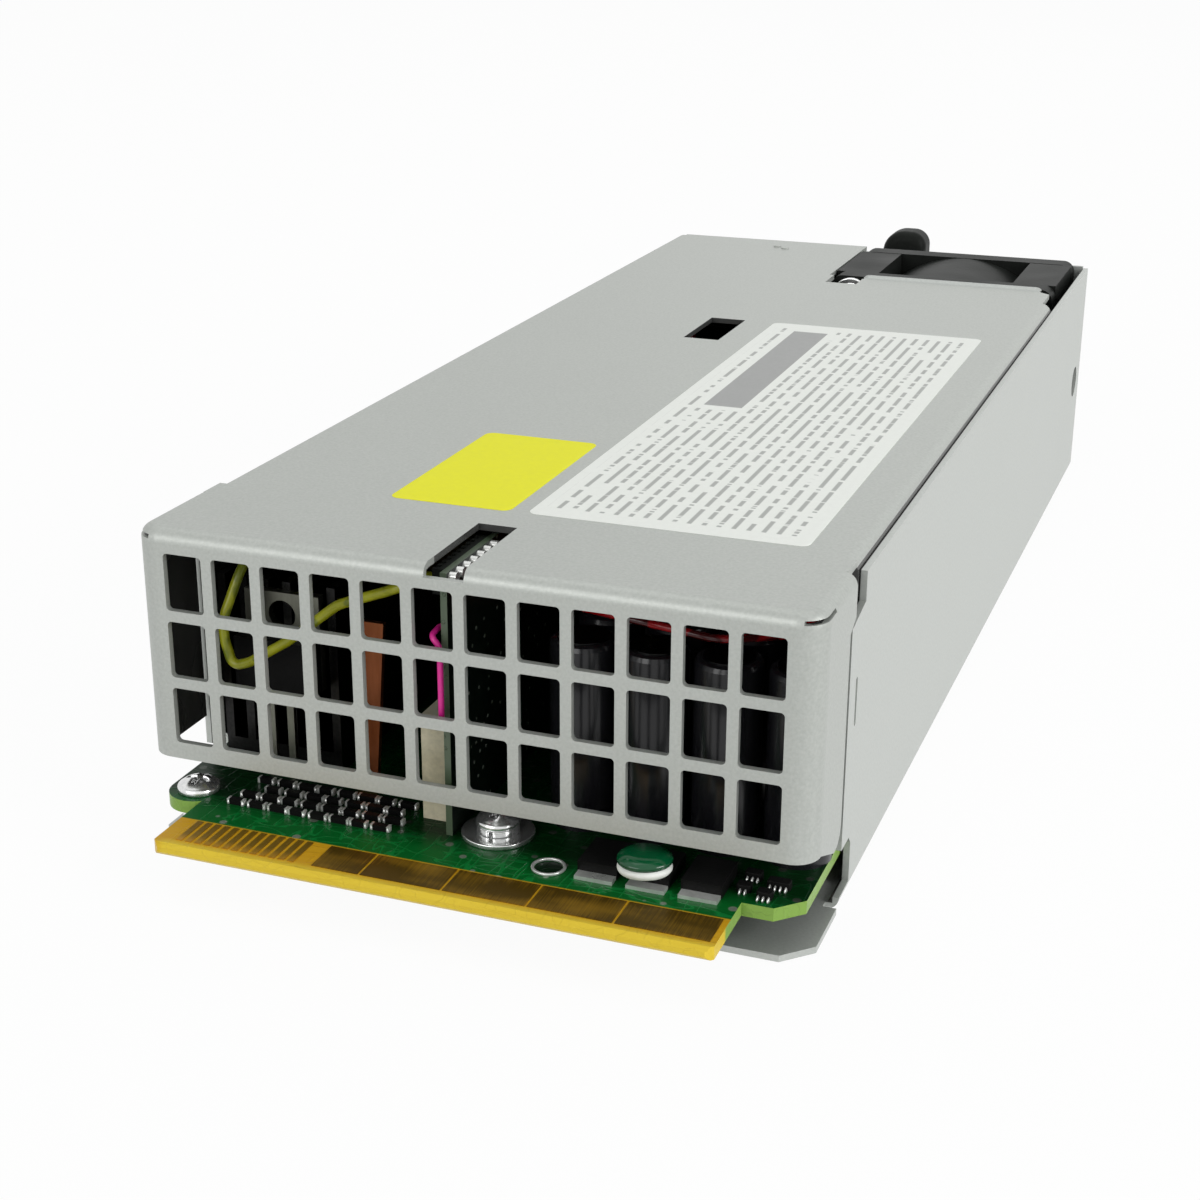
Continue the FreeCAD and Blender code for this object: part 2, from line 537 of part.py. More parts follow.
def make_top_cover():
    """The cover: a folded grille with side ears, a top plate and folds inside the tray."""
    body = new_body("top_cover")
    corner, bend = cell("corner_radius"), cell("bend_radius")
    step_back = ear_back + cell("ear_step")
    skirt = sketch_on(body, "XY_Plane", grille_bottom)
    outline(skirt, mirrored([(inner, steel), (inner, step_back), (half, step_back), (half, 0)]))
    pad(body, skirt, height - grille_bottom)
    rim = fan_front - cell("fan_gap")
    bay_left = fan_left + cell("lip_short")
    lip_start = bay_left + cell("screw_bay")
    lip_end, lip_corner = fan_right, cell("lip_corner")
    bay_front = rim - cell("screw_bay_depth")
    fold_start, fold_stop = cell("relief_end"), fan_front - cell("wall_bay_depth")
    fold_end = panel_face - cell("slip")
    recess = fold_outer - bend - seam
    right = [(half, 0), (half, step_back), (recess, step_back), (recess, fold_start),
             (fold_outer, fold_start), (fold_outer, fold_stop), (lip_end, fold_stop),
             (lip_end, rim - bend - lip_corner), (lip_end - lip_corner, rim - bend - seam),
             (lip_end - lip_corner, rim), (lip_start, rim), (lip_start, bay_front),
             (bay_left, bay_front), (bay_left, rim), (fan_left - cell("fan_gap"), rim),
             (fan_left - cell("fan_gap"), length)]
    left = [(-recess, length), (-recess, fold_end), (-fold_outer, fold_end),
            (-fold_outer, fold_start), (-recess, fold_start), (-recess, step_back),
            (-half, step_back), (-half, 0)]
    top = sketch_on(body, "XY_Plane", under_cover)
    outline(top, right + left)
    pad(body, top, steel)
    rounded(body, edges_at(body, "z", x=[-half, half], y=[0]), corner)
    rounded(body, edges_at(body, "z", x=[-inner, inner], y=[steel]), corner - steel)
    rounded(body, edges_at(body, "x", y=[0], z=[height]), bend)
    rounded(body, edges_at(body, "x", y=[steel], z=[under_cover]), bend - steel)

    cover_ear_steps(body, step_back)
    slot = sketch_on(body, "XY_Plane", under_cover)
    slot_start = half - cell("corner_start")
    for near, far in ((slot_start, half + 1), (-half - 1, -slot_start)):
        rectangle(slot, (near, far), (-1, cell("corner_end")))
    pocket(body, slot, cell("corner_slot"))

    folds = sketch_on(body, "XY_Plane", under_cover)
    fold_inner = fold_outer - steel
    rectangle(folds, (fold_inner, fold_outer), (fold_start, fold_stop))
    rectangle(folds, (-fold_outer, -fold_inner), (fold_start, fold_end))
    pad(body, folds, cell("side_fold_depth"), backwards=True)
    lip = sketch_on(body, "XY_Plane", under_cover)
    rectangle(lip, (lip_start, lip_end - lip_corner), (rim - steel, rim))
    pad(body, lip, cell("lip_depth"), backwards=True)
    rounded(body, edges_at(body, "x", x=[lip_start, lip_end - lip_corner], y=[rim], z=[height]), bend)
    rounded(body, edges_at(body, "y", x=[-fold_outer, fold_outer], z=[height]), bend)
    strip = sketch_on(body, "XY_Plane", under_cover)
    edge = half - cell("relief_depth")
    rectangle(strip, (-edge, edge), (step_back, fold_start))
    pad(body, strip, steel)

    column = sketch_on(body, "XZ_Plane")
    left_edge = cell("grille_margin") - half
    for row in range(count_of("grille_rows")):
        row_top = height - cell("grille_drop") - cell("row_pitch") * row
        rounded_rectangle(column, (left_edge, left_edge + cell("hole_width")),
                          (row_top - cell("hole_height"), row_top), cell("hole_corner"))
    first = pocket(body, column, steel + 1, both=False, backwards=False)
    repeated(body, first, "X_Axis", cell("column_pitch"), cell("grille_columns"))

    openings = sketch_on(body, "XY_Plane", height + 1)
    window = cell("window_left")
    rectangle(openings, (window, window + cell("window_width")),
              (cell("window_front"), cell("window_front") + cell("window_length")))
    pocket(body, openings, steel + 2)
    notch = sketch_on(body, "XY_Plane", height + 1)
    rectangle(notch, (cell("notch_left"), cell("notch_left") + cell("notch_width")),
              (-1, cell("notch_back")))
    pocket(body, notch, cell("notch_depth") + 1)
    bumps = sketch_on(body, "XY_Plane", height)
    for index in range(2):
        shift = cell("bump_step") * index
        circle(bumps, cell("bump_x") + shift, cell("bump_y") - shift * 0.75, cell("bump_radius"))
    pad(body, bumps, cell("bump_rise"))


def cover_ear_steps(body, step_back):
    """The ears' rear edges, and the drop below the grille on the right ear only."""
    ear_low = grille_bottom - cell("ear_drop")
    start = cell("corner_radius")
    slope_end = ear_back - cell("ear_corner") - 0.5
    drop = sketch_on(body, "YZ_Plane", inner)
    outline(drop, [(start, grille_bottom), (slope_end, ear_low), (ear_back, ear_low),
                   (ear_back, grille_bottom + steel), (start, grille_bottom + steel)])
    pad(body, drop, steel)
    rounded(body, edges_at(body, "x", y=[ear_back], z=[ear_low]), cell("ear_corner"))
    step = height - cell("ear_step_drop")
    back = sketch_on(body, "YZ_Plane")
    outline(back, [(ear_back, ear_low - 1), (step_back + 1, ear_low - 1),
                   (step_back + 1, step + cell("ear_step_rise")),
                   (step_back, step + cell("ear_step_rise")), (ear_back, step)])
    pocket(body, back, cell("case_width") + 2, both=True)


def make_rear_panel():
    """The rear panel: a plate with a punched fan guard and holes for all that passes it."""
    side = inner - cell("slip")
    top = under_cover - cell("panel_lift")
    plate = box("rear_plate", (-side, side), (panel_face, length), (steel, top))
    over = (panel_face - 1, length + 1)
    rings = []
    for index in range(count_of("guard_rings")):
        low = cell("guard_first") + cell("guard_pitch") * index
        outer = rod("ring_outer", "y", low + cell("guard_slot"), over[0], over[1], (fan_x, fan_z))
        core = rod("ring_core", "y", low, over[0] - 1, over[1] + 1, (fan_x, fan_z))
        rings.append(cut("ring", outer, core))
    spokes = []
    for turn in (45, 135):
        spoke = doc.addObject("Part::Box", "spoke")
        reach = cell("fan_side")
        for setting, size in (("Length", reach), ("Width", length - panel_face + 4),
                              ("Height", cell("spoke_width"))):
            bind(spoke, setting, size)
        tilt = FreeCAD.Rotation(FreeCAD.Vector(0, 1, 0), turn)
        spoke.Placement = FreeCAD.Placement(FreeCAD.Vector(), tilt)
        lean = math.cos(math.radians(turn)), math.sin(math.radians(turn))
        middle = (reach / 2 * lean[0] + cell("spoke_width") / 2 * lean[1],
                  cell("spoke_width") / 2 * lean[0] - reach / 2 * lean[1])
        place(spoke, fan_x - middle[0], panel_face - 2, fan_z - middle[1])
        spokes.append(spoke)
    guard = cut("guard_slots", fuse("rings", rings), fuse("spokes", spokes))
    nick = cell("bend_radius") - steel
    holes = [guard]
    for start, end in ((-side - 1, nick - side), (side - nick, side + 1)):
        holes.append(box("corner_nick", (start, end), over, (steel - 1, cell("bend_radius"))))
    for x in (-1, 1):
        for z in (-1, 1):
            holes.append(rod("screw_hole", "y", cell("fan_hole"), over[0], over[1],
                             (fan_x + screw_reach * x, fan_z + screw_reach * z)))
    for index in range(2):
        holes.append(rod("lens_hole", "y", cell("lens_radius"), over[0], over[1],
                         (cell("lens_x") - cell("lens_pitch") * index, lens_z)))
    inlet_half, inlet_tall = cell("inlet_width") / 2, cell("inlet_height") / 2
    holes.append(box("inlet_hole", (cell("inlet_x") - inlet_half, cell("inlet_x") + inlet_half),
                     over, (cell("inlet_z") - inlet_tall, cell("inlet_z") + inlet_tall)))
    clear = cell("latch_clear")
    latch_low = cell("latch_low")
    holes.append(box("latch_hole", (-side - 1, latch_right() + latch_travel() + clear), over,
                     (latch_low - clear, latch_low + cell("latch_height") + clear)))
    keep(cut("rear_panel", plate, fuse("panel_holes", holes)), "rear_panel")


def latch_right():
    """The inner face of the latch plate at rest."""
    return latch_x + cell("latch_thick") / 2


def latch_travel():
    """How far the plate moves inwards where it passes the rear panel."""
    return cell("pivot_back") * math.tan(math.radians(sheet.get("latch_swing")))


# ---- fan ---------------------------------------------------------------------------------

def make_fan_frame():
    """The fan's frame: two square flanges, a duct, corner posts, struts and a bearing tube."""
    body = new_body("fan_frame")
    place(body, fan_x, 0, fan_z)
    square = cell("fan_side") / 2
    back, flange = panel_face, cell("flange")
    for start in (back, fan_front + flange):
        plate = sketch_on(body, "XZ_Plane", -start)
        rounded_rectangle(plate, (-square, square), (-square, square), cell("fan_corner"))
        pad(body, plate, flange)
        if start is back:
            tube = sketch_on(body, "XZ_Plane", flange - back)
            circle(tube, 0, 0, square - cell("tube_inset"))
            pad(body, tube, cell("fan_depth") - flange * 2)
            posts = sketch_on(body, "XZ_Plane", flange - back)
            far, near = square - cell("tube_inset"), square - cell("post_side")
            for x in ((near, far), (-far, -near)):
                for z in ((near, far), (-far, -near)):
                    rectangle(posts, x, z)
            pad(body, posts, cell("fan_depth") - flange * 2)
    duct = sketch_on(body, "XZ_Plane", -back - 1)
    circle(duct, 0, 0, duct_radius)
    for x in (-1, 1):
        for z in (-1, 1):
            circle(duct, screw_reach * x, screw_reach * z, cell("fan_hole"))
    pocket(body, duct, cell("fan_depth") + 2, backwards=True)
    cross = sketch_on(body, "XZ_Plane", -back)
    thin = cell("strut_width") / 2
    long = duct_radius + 0.4
    outline(cross, [(thin, -long), (thin, -thin), (long, -thin), (long, thin), (thin, thin),
                    (thin, long), (-thin, long), (-thin, thin), (-long, thin), (-long, -thin),
                    (-thin, -thin), (-thin, -long)])
    pad(body, cross, cell("strut_depth"))
    mount = sketch_on(body, "XZ_Plane", -back)
    circle(mount, 0, 0, cell("mount_radius"))
    pad(body, mount, cell("mount_thick"))
    bore = cell("shaft_radius") + cell("bearing_clear")
    bearing = sketch_on(body, "XZ_Plane", cell("mount_thick") - back)
    circle(bearing, 0, 0, bore + cell("bearing_wall"))
    pad(body, bearing, cell("bearing_length"))
    hole = sketch_on(body, "XZ_Plane", 1 - back)
    circle(hole, 0, 0, bore)
    pocket(body, hole, cell("mount_thick") + cell("bearing_length"), backwards=True)


def make_fan_rotor():
    """The fan's rotor: a cup, swept blades round it and a shaft in the bearing tube."""
    body = new_body("fan_rotor")
    place(body, fan_x, fan_front + cell("front_clear"), fan_z)
    hub, wall, long = cell("hub_radius"), cell("hub_wall"), cell("hub_length")
    cup = sketch_on(body, "YZ_Plane")
    shaft = cell("shaft_radius")
    shaft_end = cell("fan_depth") - cell("front_clear") - 1.6
    outline(cup, [(0, 0), (0, hub - cell("hub_round")), (cell("hub_round"), hub), (long, hub),
                  (long, hub - wall), (wall, hub - wall), (wall, shaft), (shaft_end, shaft),
                  (shaft_end, 0)])
    turned(body, "Revolution", cup)
    run, rise, bow = cell("blade_run"), cell("blade_rise") / 2, cell("blade_bow")
    thick, start = cell("blade_thickness"), cell("blade_inset")
    sections = []
    for radius, lean in ((hub - wall / 2, 0.72), (duct_radius - cell("blade_clear"), 1.0)):
        section = sketch_on(body, "YZ_Plane", radius)
        outline(section, [(start, -rise * lean), (start + run / 2, bow * lean),
                          (start + run, rise * lean), (start + run, rise * lean + thick),
                          (start + run / 2, bow * lean + thick), (start, thick - rise * lean)])
        sections.append(section)
    blade = body.newObject("PartDesign::AdditiveLoft", "Blade")
    blade.Profile = sections[0]
    blade.Sections = [sections[1]]
    blade.Ruled = True
    doc.recompute()
    body.Tip = blade
    ring = body.newObject("PartDesign::PolarPattern", "PolarPattern")
    ring.Originals = [blade]
    ring.Axis = (origin_feature(body, "Y_Axis"), [""])
    ring.Angle = 360
    ring.Occurrences = count_of("blade_count")
    doc.recompute()
    body.Tip = ring


def make_fan_screws():
    """The fan's screws: two long ones that also hold the handle, two short ones behind."""
    screws, nuts = [], []
    radius, head = cell("fan_screw_radius"), cell("fan_head_radius")
    tall = cell("fan_head_height")
    nut_start = length + cell("foot_thick")
    nut_end = nut_start + cell("nut_height")
    for z in (-1, 1):
        spot = (fan_x - screw_reach, fan_z + screw_reach * z)
        shank = rod("shank", "y", radius, fan_front, nut_end, spot)
        rim = rod("head", "y", head, fan_front - tall, fan_front, spot)
        drive = rod("drive", "y", head * 0.42, fan_front - tall - 1, fan_front - tall / 2, spot)
        screws.append(cut("fan_screw", fuse("screw_solid", [shank, rim]), drive))
        blank = doc.addObject("Part::Prism", "nut_blank")
        blank.Polygon = 6
        blank.Placement = FreeCAD.Placement(FreeCAD.Vector(), TURNS["y"])
        bind(blank, "Circumradius", cell("nut_radius"))
        bind(blank, "Height", cell("nut_height"))
        place(blank, spot[0], nut_start, spot[1])
        bore = rod("nut_bore", "y", radius, nut_start - 1, nut_end + 1, spot)
        nuts.append(cut("fan_nut", blank, bore))
        spot = (fan_x + screw_reach, spot[1])
        shank = rod("shank", "y", radius, length - cell("fan_screw_bite"), length, spot)
        rim = rod("head", "y", head, length, length + tall, spot)
        drive = rod("drive", "y", head * 0.42, length + tall / 2, length + tall + 1, spot)
        screws.append(cut("fan_screw", fuse("screw_solid", [shank, rim]), drive))
    group("fan_screws", screws)
    group("fan_nuts", nuts)


# ---- mains inlet, lamps ------------------------------------------------------------------

def make_inlet():
    """The mains inlet: a flanged body with a bevelled socket and three flat pins."""
    body = new_body("inlet_body")
    x, z = cell("inlet_x"), cell("inlet_z")
    place(body, x, 0, z)
    wide, tall, brim = cell("inlet_width") / 2, cell("inlet_height") / 2, cell("inlet_brim")
    mouth = length + cell("inlet_flange")
    floor = mouth - cell("socket_depth")
    flange = sketch_on(body, "XZ_Plane", -mouth)
    rounded_rectangle(flange, (-wide - brim, wide + brim), (-tall - brim, tall + brim),
                      cell("inlet_corner"))
    pad(body, flange, cell("inlet_flange"))
    shell = sketch_on(body, "XZ_Plane", -length)
    rectangle(shell, (-wide, wide), (-tall, tall))
    pad(body, shell, length - floor + cell("inlet_back"))
    socket = sketch_on(body, "XZ_Plane", -mouth)
    side, rise, bevel = cell("socket_width") / 2, cell("socket_height") / 2, cell("socket_bevel")
    outline(socket, [(-side, -rise), (side, -rise), (side, rise - bevel), (side - bevel, rise),
                     (bevel - side, rise), (-side, rise - bevel)])
    pocket(body, socket, cell("socket_depth"), backwards=True)
    slots = sketch_on(body, "XZ_Plane", -floor - 1)
    for px, pz in pin_places():
        rectangle(slots, (px - cell("pin_width") / 2, px + cell("pin_width") / 2),
                  (pz - cell("pin_height") / 2, pz + cell("pin_height") / 2))
    pocket(body, slots, cell("inlet_back") + 2, backwards=True)
    pins = []
    tip = mouth - cell("pin_recess")
    tail = floor - cell("inlet_back") - cell("pin_tail")
    for px, pz in pin_places():
        pins.append(box("pin", (x + px - cell("pin_width") / 2, x + px + cell("pin_width") / 2),
                        (tail, tip),
                        (z + pz - cell("pin_height") / 2, z + pz + cell("pin_height") / 2)))
    group("inlet_pins", pins)


def pin_places():
    """Places of the line, neutral and earth pins about the inlet's middle."""
    spread, offset = cell("pin_spread"), cell("pin_offset")
    return [(-spread, -offset), (spread, -offset), (spread * 0, offset)]


def make_status_lenses():
    """Two short light guides that poke through the rear panel."""
    lenses = []
    for index in range(2):
        spot = (cell("lens_x") - cell("lens_pitch") * index, lens_z)
        guide = rod("guide", "y", cell("lens_radius"), length - cell("lens_length"),
                    length + cell("lens_nose"), spot)
        collar = rod("collar", "y", cell("lens_radius") + cell("lens_flange"),
                     panel_face - cell("lens_flange"), panel_face, spot)
        lenses.append(fuse("lens", [guide, collar]))
    group("status_lenses", lenses)


# ---- handle and latch --------------------------------------------------------------------

def make_handle():
    """The handle: an upright rounded grip on two arms whose feet take the fan's screws."""
    body = new_body("handle")
    place(body, fan_x - screw_reach, 0, 0)
    wide, deep = cell("grip_width") / 2, cell("grip_depth") / 2
    low, high = cell("grip_bottom"), cell("grip_top")
    back = length + cell("grip_reach")
    foot = length + cell("foot_thick")
    grip = sketch_on(body, "XY_Plane", low)
    rectangle(grip, (-wide, wide), (back - deep, back + deep))
    pad(body, grip, high - low)
    for x, z, radius in ((-wide, high, cell("grip_wide_round")),
                         (wide, high, cell("grip_tight_round")),
                         (-wide, low, cell("grip_round")), (wide, low, cell("grip_round"))):
        rounded(body, edges_at(body, "y", x=[x], z=[z]), radius)
    rounded(body, edges_at(body, "z", x=[wide], y=[back - deep]), cell("grip_edge"))
    rounded(body, edges_at(body, "z", x=[wide], y=[back + deep]), cell("grip_edge"))
    arms = sketch_on(body, "YZ_Plane")
    near = cell("arm_spread")
    far = near + cell("arm_height")
    outline(arms, [(length, low), (foot, low), (foot, fan_z - far), (back, fan_z - far),
                   (back, fan_z - near), (length, fan_z - near)])
    foot_top = under_cover - cell("foot_drop")
    outline(arms, [(length, fan_z + near), (back, fan_z + near), (back, fan_z + far),
                   (foot, fan_z + far), (foot, foot_top), (length, foot_top)])
    pad(body, arms, cell("grip_width") - cell("arm_relief") * 2, both=True)
    holes = sketch_on(body, "XZ_Plane", -foot - 1)
    for side in (-1, 1):
        circle(holes, 0, fan_z + screw_reach * side, cell("fan_screw_radius"))
    pocket(body, holes, cell("foot_thick") + 2, backwards=True)


def make_release_latch():
    """The latch: a plate on an upright pivot, with a hook in the side wall and a thumb tab."""
    body = new_body("release_latch")
    low, tall = cell("latch_low"), cell("latch_height")
    x, y = latch_x, panel_face - cell("pivot_back")
    place(body, x, y, 0)
    bore = cell("pivot_radius") + cell("pivot_clear")
    half_thick = cell("latch_thick") / 2
    tab_start = cell("pivot_back") + steel + cell("tab_gap")
    tab_end = cell("pivot_back") + steel + cell("tab_reach")
    plate = sketch_on(body, "XY_Plane", low)
    rectangle(plate, (-half_thick, half_thick), (0, tab_start + 1))
    pad(body, plate, tall)
    barrel = sketch_on(body, "XY_Plane", low)
    circle(barrel, 0, 0, bore + cell("barrel_wall"))
    pad(body, barrel, tall)
    tab = sketch_on(body, "XY_Plane", low)
    tab_half = cell("tab_thick") / 2
    rectangle(tab, (-tab_half, tab_half), (tab_start, tab_end))
    pad(body, tab, tall)
    rounded(body, edges_at(body, "x", y=[tab_end], z=[low, low + tall]), cell("tab_round"))
    hook_y = cell("pivot_back") - cell("hook_back")
    tip = -half - cell("hook_out") - x
    hook = sketch_on(body, "XY_Plane", low + tall / 2 - cell("hook_height") / 2)
    outline(hook, [(0, hook_y), (-half_thick, hook_y), (tip, hook_y + cell("hook_ramp")),
                   (tip, hook_y + cell("hook_length")), (0, hook_y + cell("hook_length"))])
    pad(body, hook, cell("hook_height"))
    hole = sketch_on(body, "XY_Plane", low - 1)
    circle(hole, 0, 0, bore)
    pocket(body, hole, tall + 2, backwards=True)


def make_latch_pin():
    """The latch's pivot pin, with a collar that the latch sits on."""
    spot = (latch_x, panel_face - cell("pivot_back"))
    low = cell("latch_low")
    pin = rod("pin_shaft", "z", cell("pivot_radius"), steel,
              low + cell("latch_height") + cell("pin_rise"), spot)
    collar = rod("pin_collar", "z", cell("pivot_radius") + cell("barrel_wall"), cell("bend_radius"),
                 low - cell("pin_play"), spot)
    keep(fuse("latch_pin", [pin, collar]), "latch_pin")


def make_latch_spring():
    """The spring that pushes the latch outwards, seated on the inlet's side."""
    wire = cell("spring_wire").value
    start = (latch_right() + cell("pin_play")).value + wire
    end = (cell("inlet_x") - cell("inlet_width") / 2).value - wire
    turns = count_of("spring_turns")
    helix = Part.makeHelix((end - start) / turns, end - start, cell("spring_radius").value - wire)
    centre = FreeCAD.Vector(cell("spring_radius").value - wire, 0, 0)
    ring = Part.Wire([Part.makeCircle(wire, centre, FreeCAD.Vector(0, 1, 0))])
    coil = Part.Wire(helix).makePipeShell([ring], True, True)
    spring = doc.addObject("Part::Feature", "latch_spring")
    spring.Shape = coil
    middle = cell("latch_low") + cell("latch_height") / 2
    spring.Placement = FreeCAD.Placement(FreeCAD.Vector(), TURNS["x"])
    place(spring, start, panel_face - cell("spring_back"), middle)
    keep(spring, "latch_spring")


# ---- main board and what stands on it ----------------------------------------------------

def screw_places():
    """The four screws that hold the main board, front pair first."""
    edge = board_side - cell("left_screw_inset")
    return [(-edge, cell("left_screw_y")), (cell("mid_screw_x"), cell("screw_y")),
            (-edge, cell("rear_screw_y")), (edge, cell("rear_screw_y"))]


def make_main_board():
    """The main board: a plate with a bevelled card edge and a round lobe at its front."""
    body = new_body("main_board")
    front, nose = cell("board_front"), cell("board_front") - cell("tongue_reach")
    left, right, nick = cell("tongue_left"), cell("tongue_right"), cell("tongue_nick")
    chamfer, back, lobe_y = cell("edge_chamfer"), cell("board_back"), cell("lobe_y")
    plate = sketch_on(body, "XY_Plane", board_low)
    outline(plate, [(left + nick, nose), (right - nick, nose), (right, nose + nick),
                    (right, front), (board_side - chamfer, front), (board_side, front + chamfer),
                    (board_side, back), (-board_side, back), (-board_side, lobe_y),
                    (left, lobe_y), (left, nose + nick)])
    pad(body, plate, cell("board_thick"))
    bevelled(body, edges_at(body, "x", y=[nose], z=[board_low, board_top]), cell("tongue_bevel"))
    lobe = sketch_on(body, "XY_Plane", board_low)
    circle(lobe, cell("lobe_radius") - board_side, lobe_y, cell("lobe_radius"))
    pad(body, lobe, cell("board_thick"))
    holes = sketch_on(body, "XY_Plane", board_top + 1)
    for x, y in screw_places():
        circle(holes, x, y, cell("screw_shank") + cell("screw_play"))
    pocket(body, holes, cell("board_thick") + 2)


def make_edge_contacts():
    """The gold contacts of the card edge, narrow signal fingers and wide power pads."""
    pads = []
    front = cell("board_front") - cell("tongue_reach") + cell("contact_setback")
    power, pitch, wide = cell("power_left"), cell("power_pitch"), cell("power_width")
    total = count_of("power_count")
    rows = [(cell("signal_left"), cell("signal_pitch"), cell("signal_width"),
             count_of("signal_count")),
            (cell("short_left"), pitch, cell("short_width"), 1), (power, pitch, wide, total),
            (power + pitch * total, pitch, wide + cell("last_extra"), 1)]
    thick = cell("contact_thick")
    for left, pitch, width, count in rows:
        for index in range(count):
            start = left + pitch * index
            for low in (board_top, board_low - thick):
                pads.append(box("contact", (start, start + width),
                                (front, front + cell("contact_length")), (low, low + thick)))
    group("edge_contacts", pads)


def make_board_fasteners():
    """Posts pressed into the tray, the screws in them and the washer of the middle screw."""
    posts, screws = [], []
    bore = cell("screw_shank") + cell("screw_play")
    for index, spot in enumerate(screw_places()):
        post = rod("post_body", "z", cell("post_radius"), steel, board_low, spot)
        posts.append(cut("post", post, rod("post_bore", "z", bore, steel, board_low + 1, spot)))
        washers = cell("washer_thick") + cell("spring_washer_thick")
        seat = board_top + washers if index == 1 else board_top
        screws.append(pan_screw(seat, spot, steel + cell("screw_play")))
    group("board_posts", posts)
    group("board_screws", screws)
    spot = screw_places()[1]
    flat_top = board_top + cell("washer_thick")
    disc = rod("washer_disc", "z", cell("washer_radius"), board_top, flat_top, spot)
    hole = rod("washer_hole", "z", bore, board_top - 1, flat_top + 1, spot)
    spring_top = flat_top + cell("spring_washer_thick")
    split = rod("spring_disc", "z", cell("spring_washer_radius"), flat_top, spring_top, spot)
    gap = box("spring_gap", (spot[0], spot[0] + cell("spring_washer_gap")),
              (spot[1] - cell("spring_washer_radius") - 1, spot[1]), (flat_top, spring_top + 1))
    eye = rod("spring_eye", "z", bore, flat_top - 1, spring_top + 1, spot)
    group("screw_washer", [cut("flat_washer", disc, hole),
                           cut("spring_washer", split, fuse("spring_cuts", [eye, gap]))])


def pan_screw(seat, spot, tip):
    """A pan head screw that points down: a domed head with a cross recess."""
    radius, tall = cell("head_radius"), cell("head_height")
    shank = rod("screw_shank", "z", cell("screw_shank"), tip, seat, spot)
    rim = rod("screw_rim", "z", radius, seat, seat + tall, spot)
    rise = tall * 0.65
    ball = doc.addObject("Part::Sphere", "screw_ball")
    ball_radius = (radius * radius + rise * rise) / (rise * 2)
    bind(ball, "Radius", ball_radius)
    place(ball, spot[0], spot[1], seat + tall - ball_radius)
    dome = doc.addObject("Part::Common", "screw_dome")
    dome.Base, dome.Tool = rim, ball
    solid = fuse("screw_solid", [shank, dome])
    long, thin = radius * 0.55, radius * 0.12
    deep = (seat + tall * 0.45, seat + tall + 1)
    cross = [box("recess", (spot[0] - a, spot[0] + a), (spot[1] - b, spot[1] + b), deep)
             for a, b in ((long, thin), (thin, long))]
    return cut("screw", solid, fuse("screw_cross", cross))


def card_faces():
    """The left and right faces of the daughter card."""
    return cell("card_x") - cell("card_thick") / 2, cell("card_x") + cell("card_thick") / 2


def make_daughter_card():
    """The upright daughter card and the row of soldered pins near its top."""
    body = new_body("daughter_card")
    left, right = card_faces()
    front, long = cell("card_front"), cell("card_length")
    high = card_top
    face = sketch_on(body, "YZ_Plane", left)
    outline(face, [(front, board_top), (front + long, board_top), (front + long, high - 6),
                   (front + long - 6, high), (front, high)])
    pad(body, face, cell("card_thick"))
    joints = []
    radius = cell("blob_radius")
    for index in range(count_of("blob_count")):
        y = front + cell("blob_start") + cell("blob_pitch") * index
        joints.append(rod("joint", "x", radius, right, right + cell("blob_out"),
                          (y, high - radius - 0.1)))
    group("card_joints", joints)
    header = box("header_bar", (left - cell("header_thick"), left),
                 (front + cell("blob_start"), front + cell("header_length")),
                 (high - cell("header_height"), high))
    teeth = []
    for index in range(count_of("header_teeth")):
        y = front + cell("blob_start") + cell("header_pitch") * (index + 0.5)
        teeth.append(box("header_gap", (left - cell("header_thick") - 1,
                                        left - cell("header_thick") / 2),
                         (y, y + cell("header_pitch") / 2), (high - 1, high + 1)))
    keep(cut("card_header", header, fuse("gaps", teeth)), "card_header")


def make_front_packages():
    """The output transistors lying at the board's front edge, with their silver tabs."""
    bodies, tabs = [], []
    front = cell("fet_front")
    for index in range(count_of("fet_count")):
        x = cell("fet_left") + cell("fet_pitch") * index
        bodies.append(box("fet", (x, x + cell("fet_width")), (front, front + cell("fet_length")),
                          (board_top, board_top + cell("fet_height"))))
        tabs.append(box("tab", (x + 0.1, x + cell("fet_width") - 0.1),
                        (front - cell("tab_length"), front),
                        (board_top, board_top + cell("tab_height"))))
    group("output_transistors", bodies)
    group("transistor_tabs", tabs)
    chips, ends = [], []
    end, wide, tall = cell("chip_end"), cell("chip_width"), cell("chip_height")
    for row in range(count_of("chip_rows")):
        for column in range(count_of("chip_columns")):
            if row == 2 and column == 0:
                continue
            x = cell("chip_left") + cell("chip_pitch_x") * column + 0.6 * (row % 2)
            y = cell("chip_front") + cell("chip_pitch_y") * row
            grow = 0.2 * ((row + column) % 3)
            chips.append(box("chip", (x, x + cell("chip_length") + grow), (y, y + wide),
                             (board_top, board_top + tall)))
            for start in (x - end, x + cell("chip_length") + grow):
                ends.append(box("end", (start, start + end), (y, y + wide),
                                (board_top, board_top + tall)))
    group("surface_parts", chips)
    group("surface_part_ends", ends)


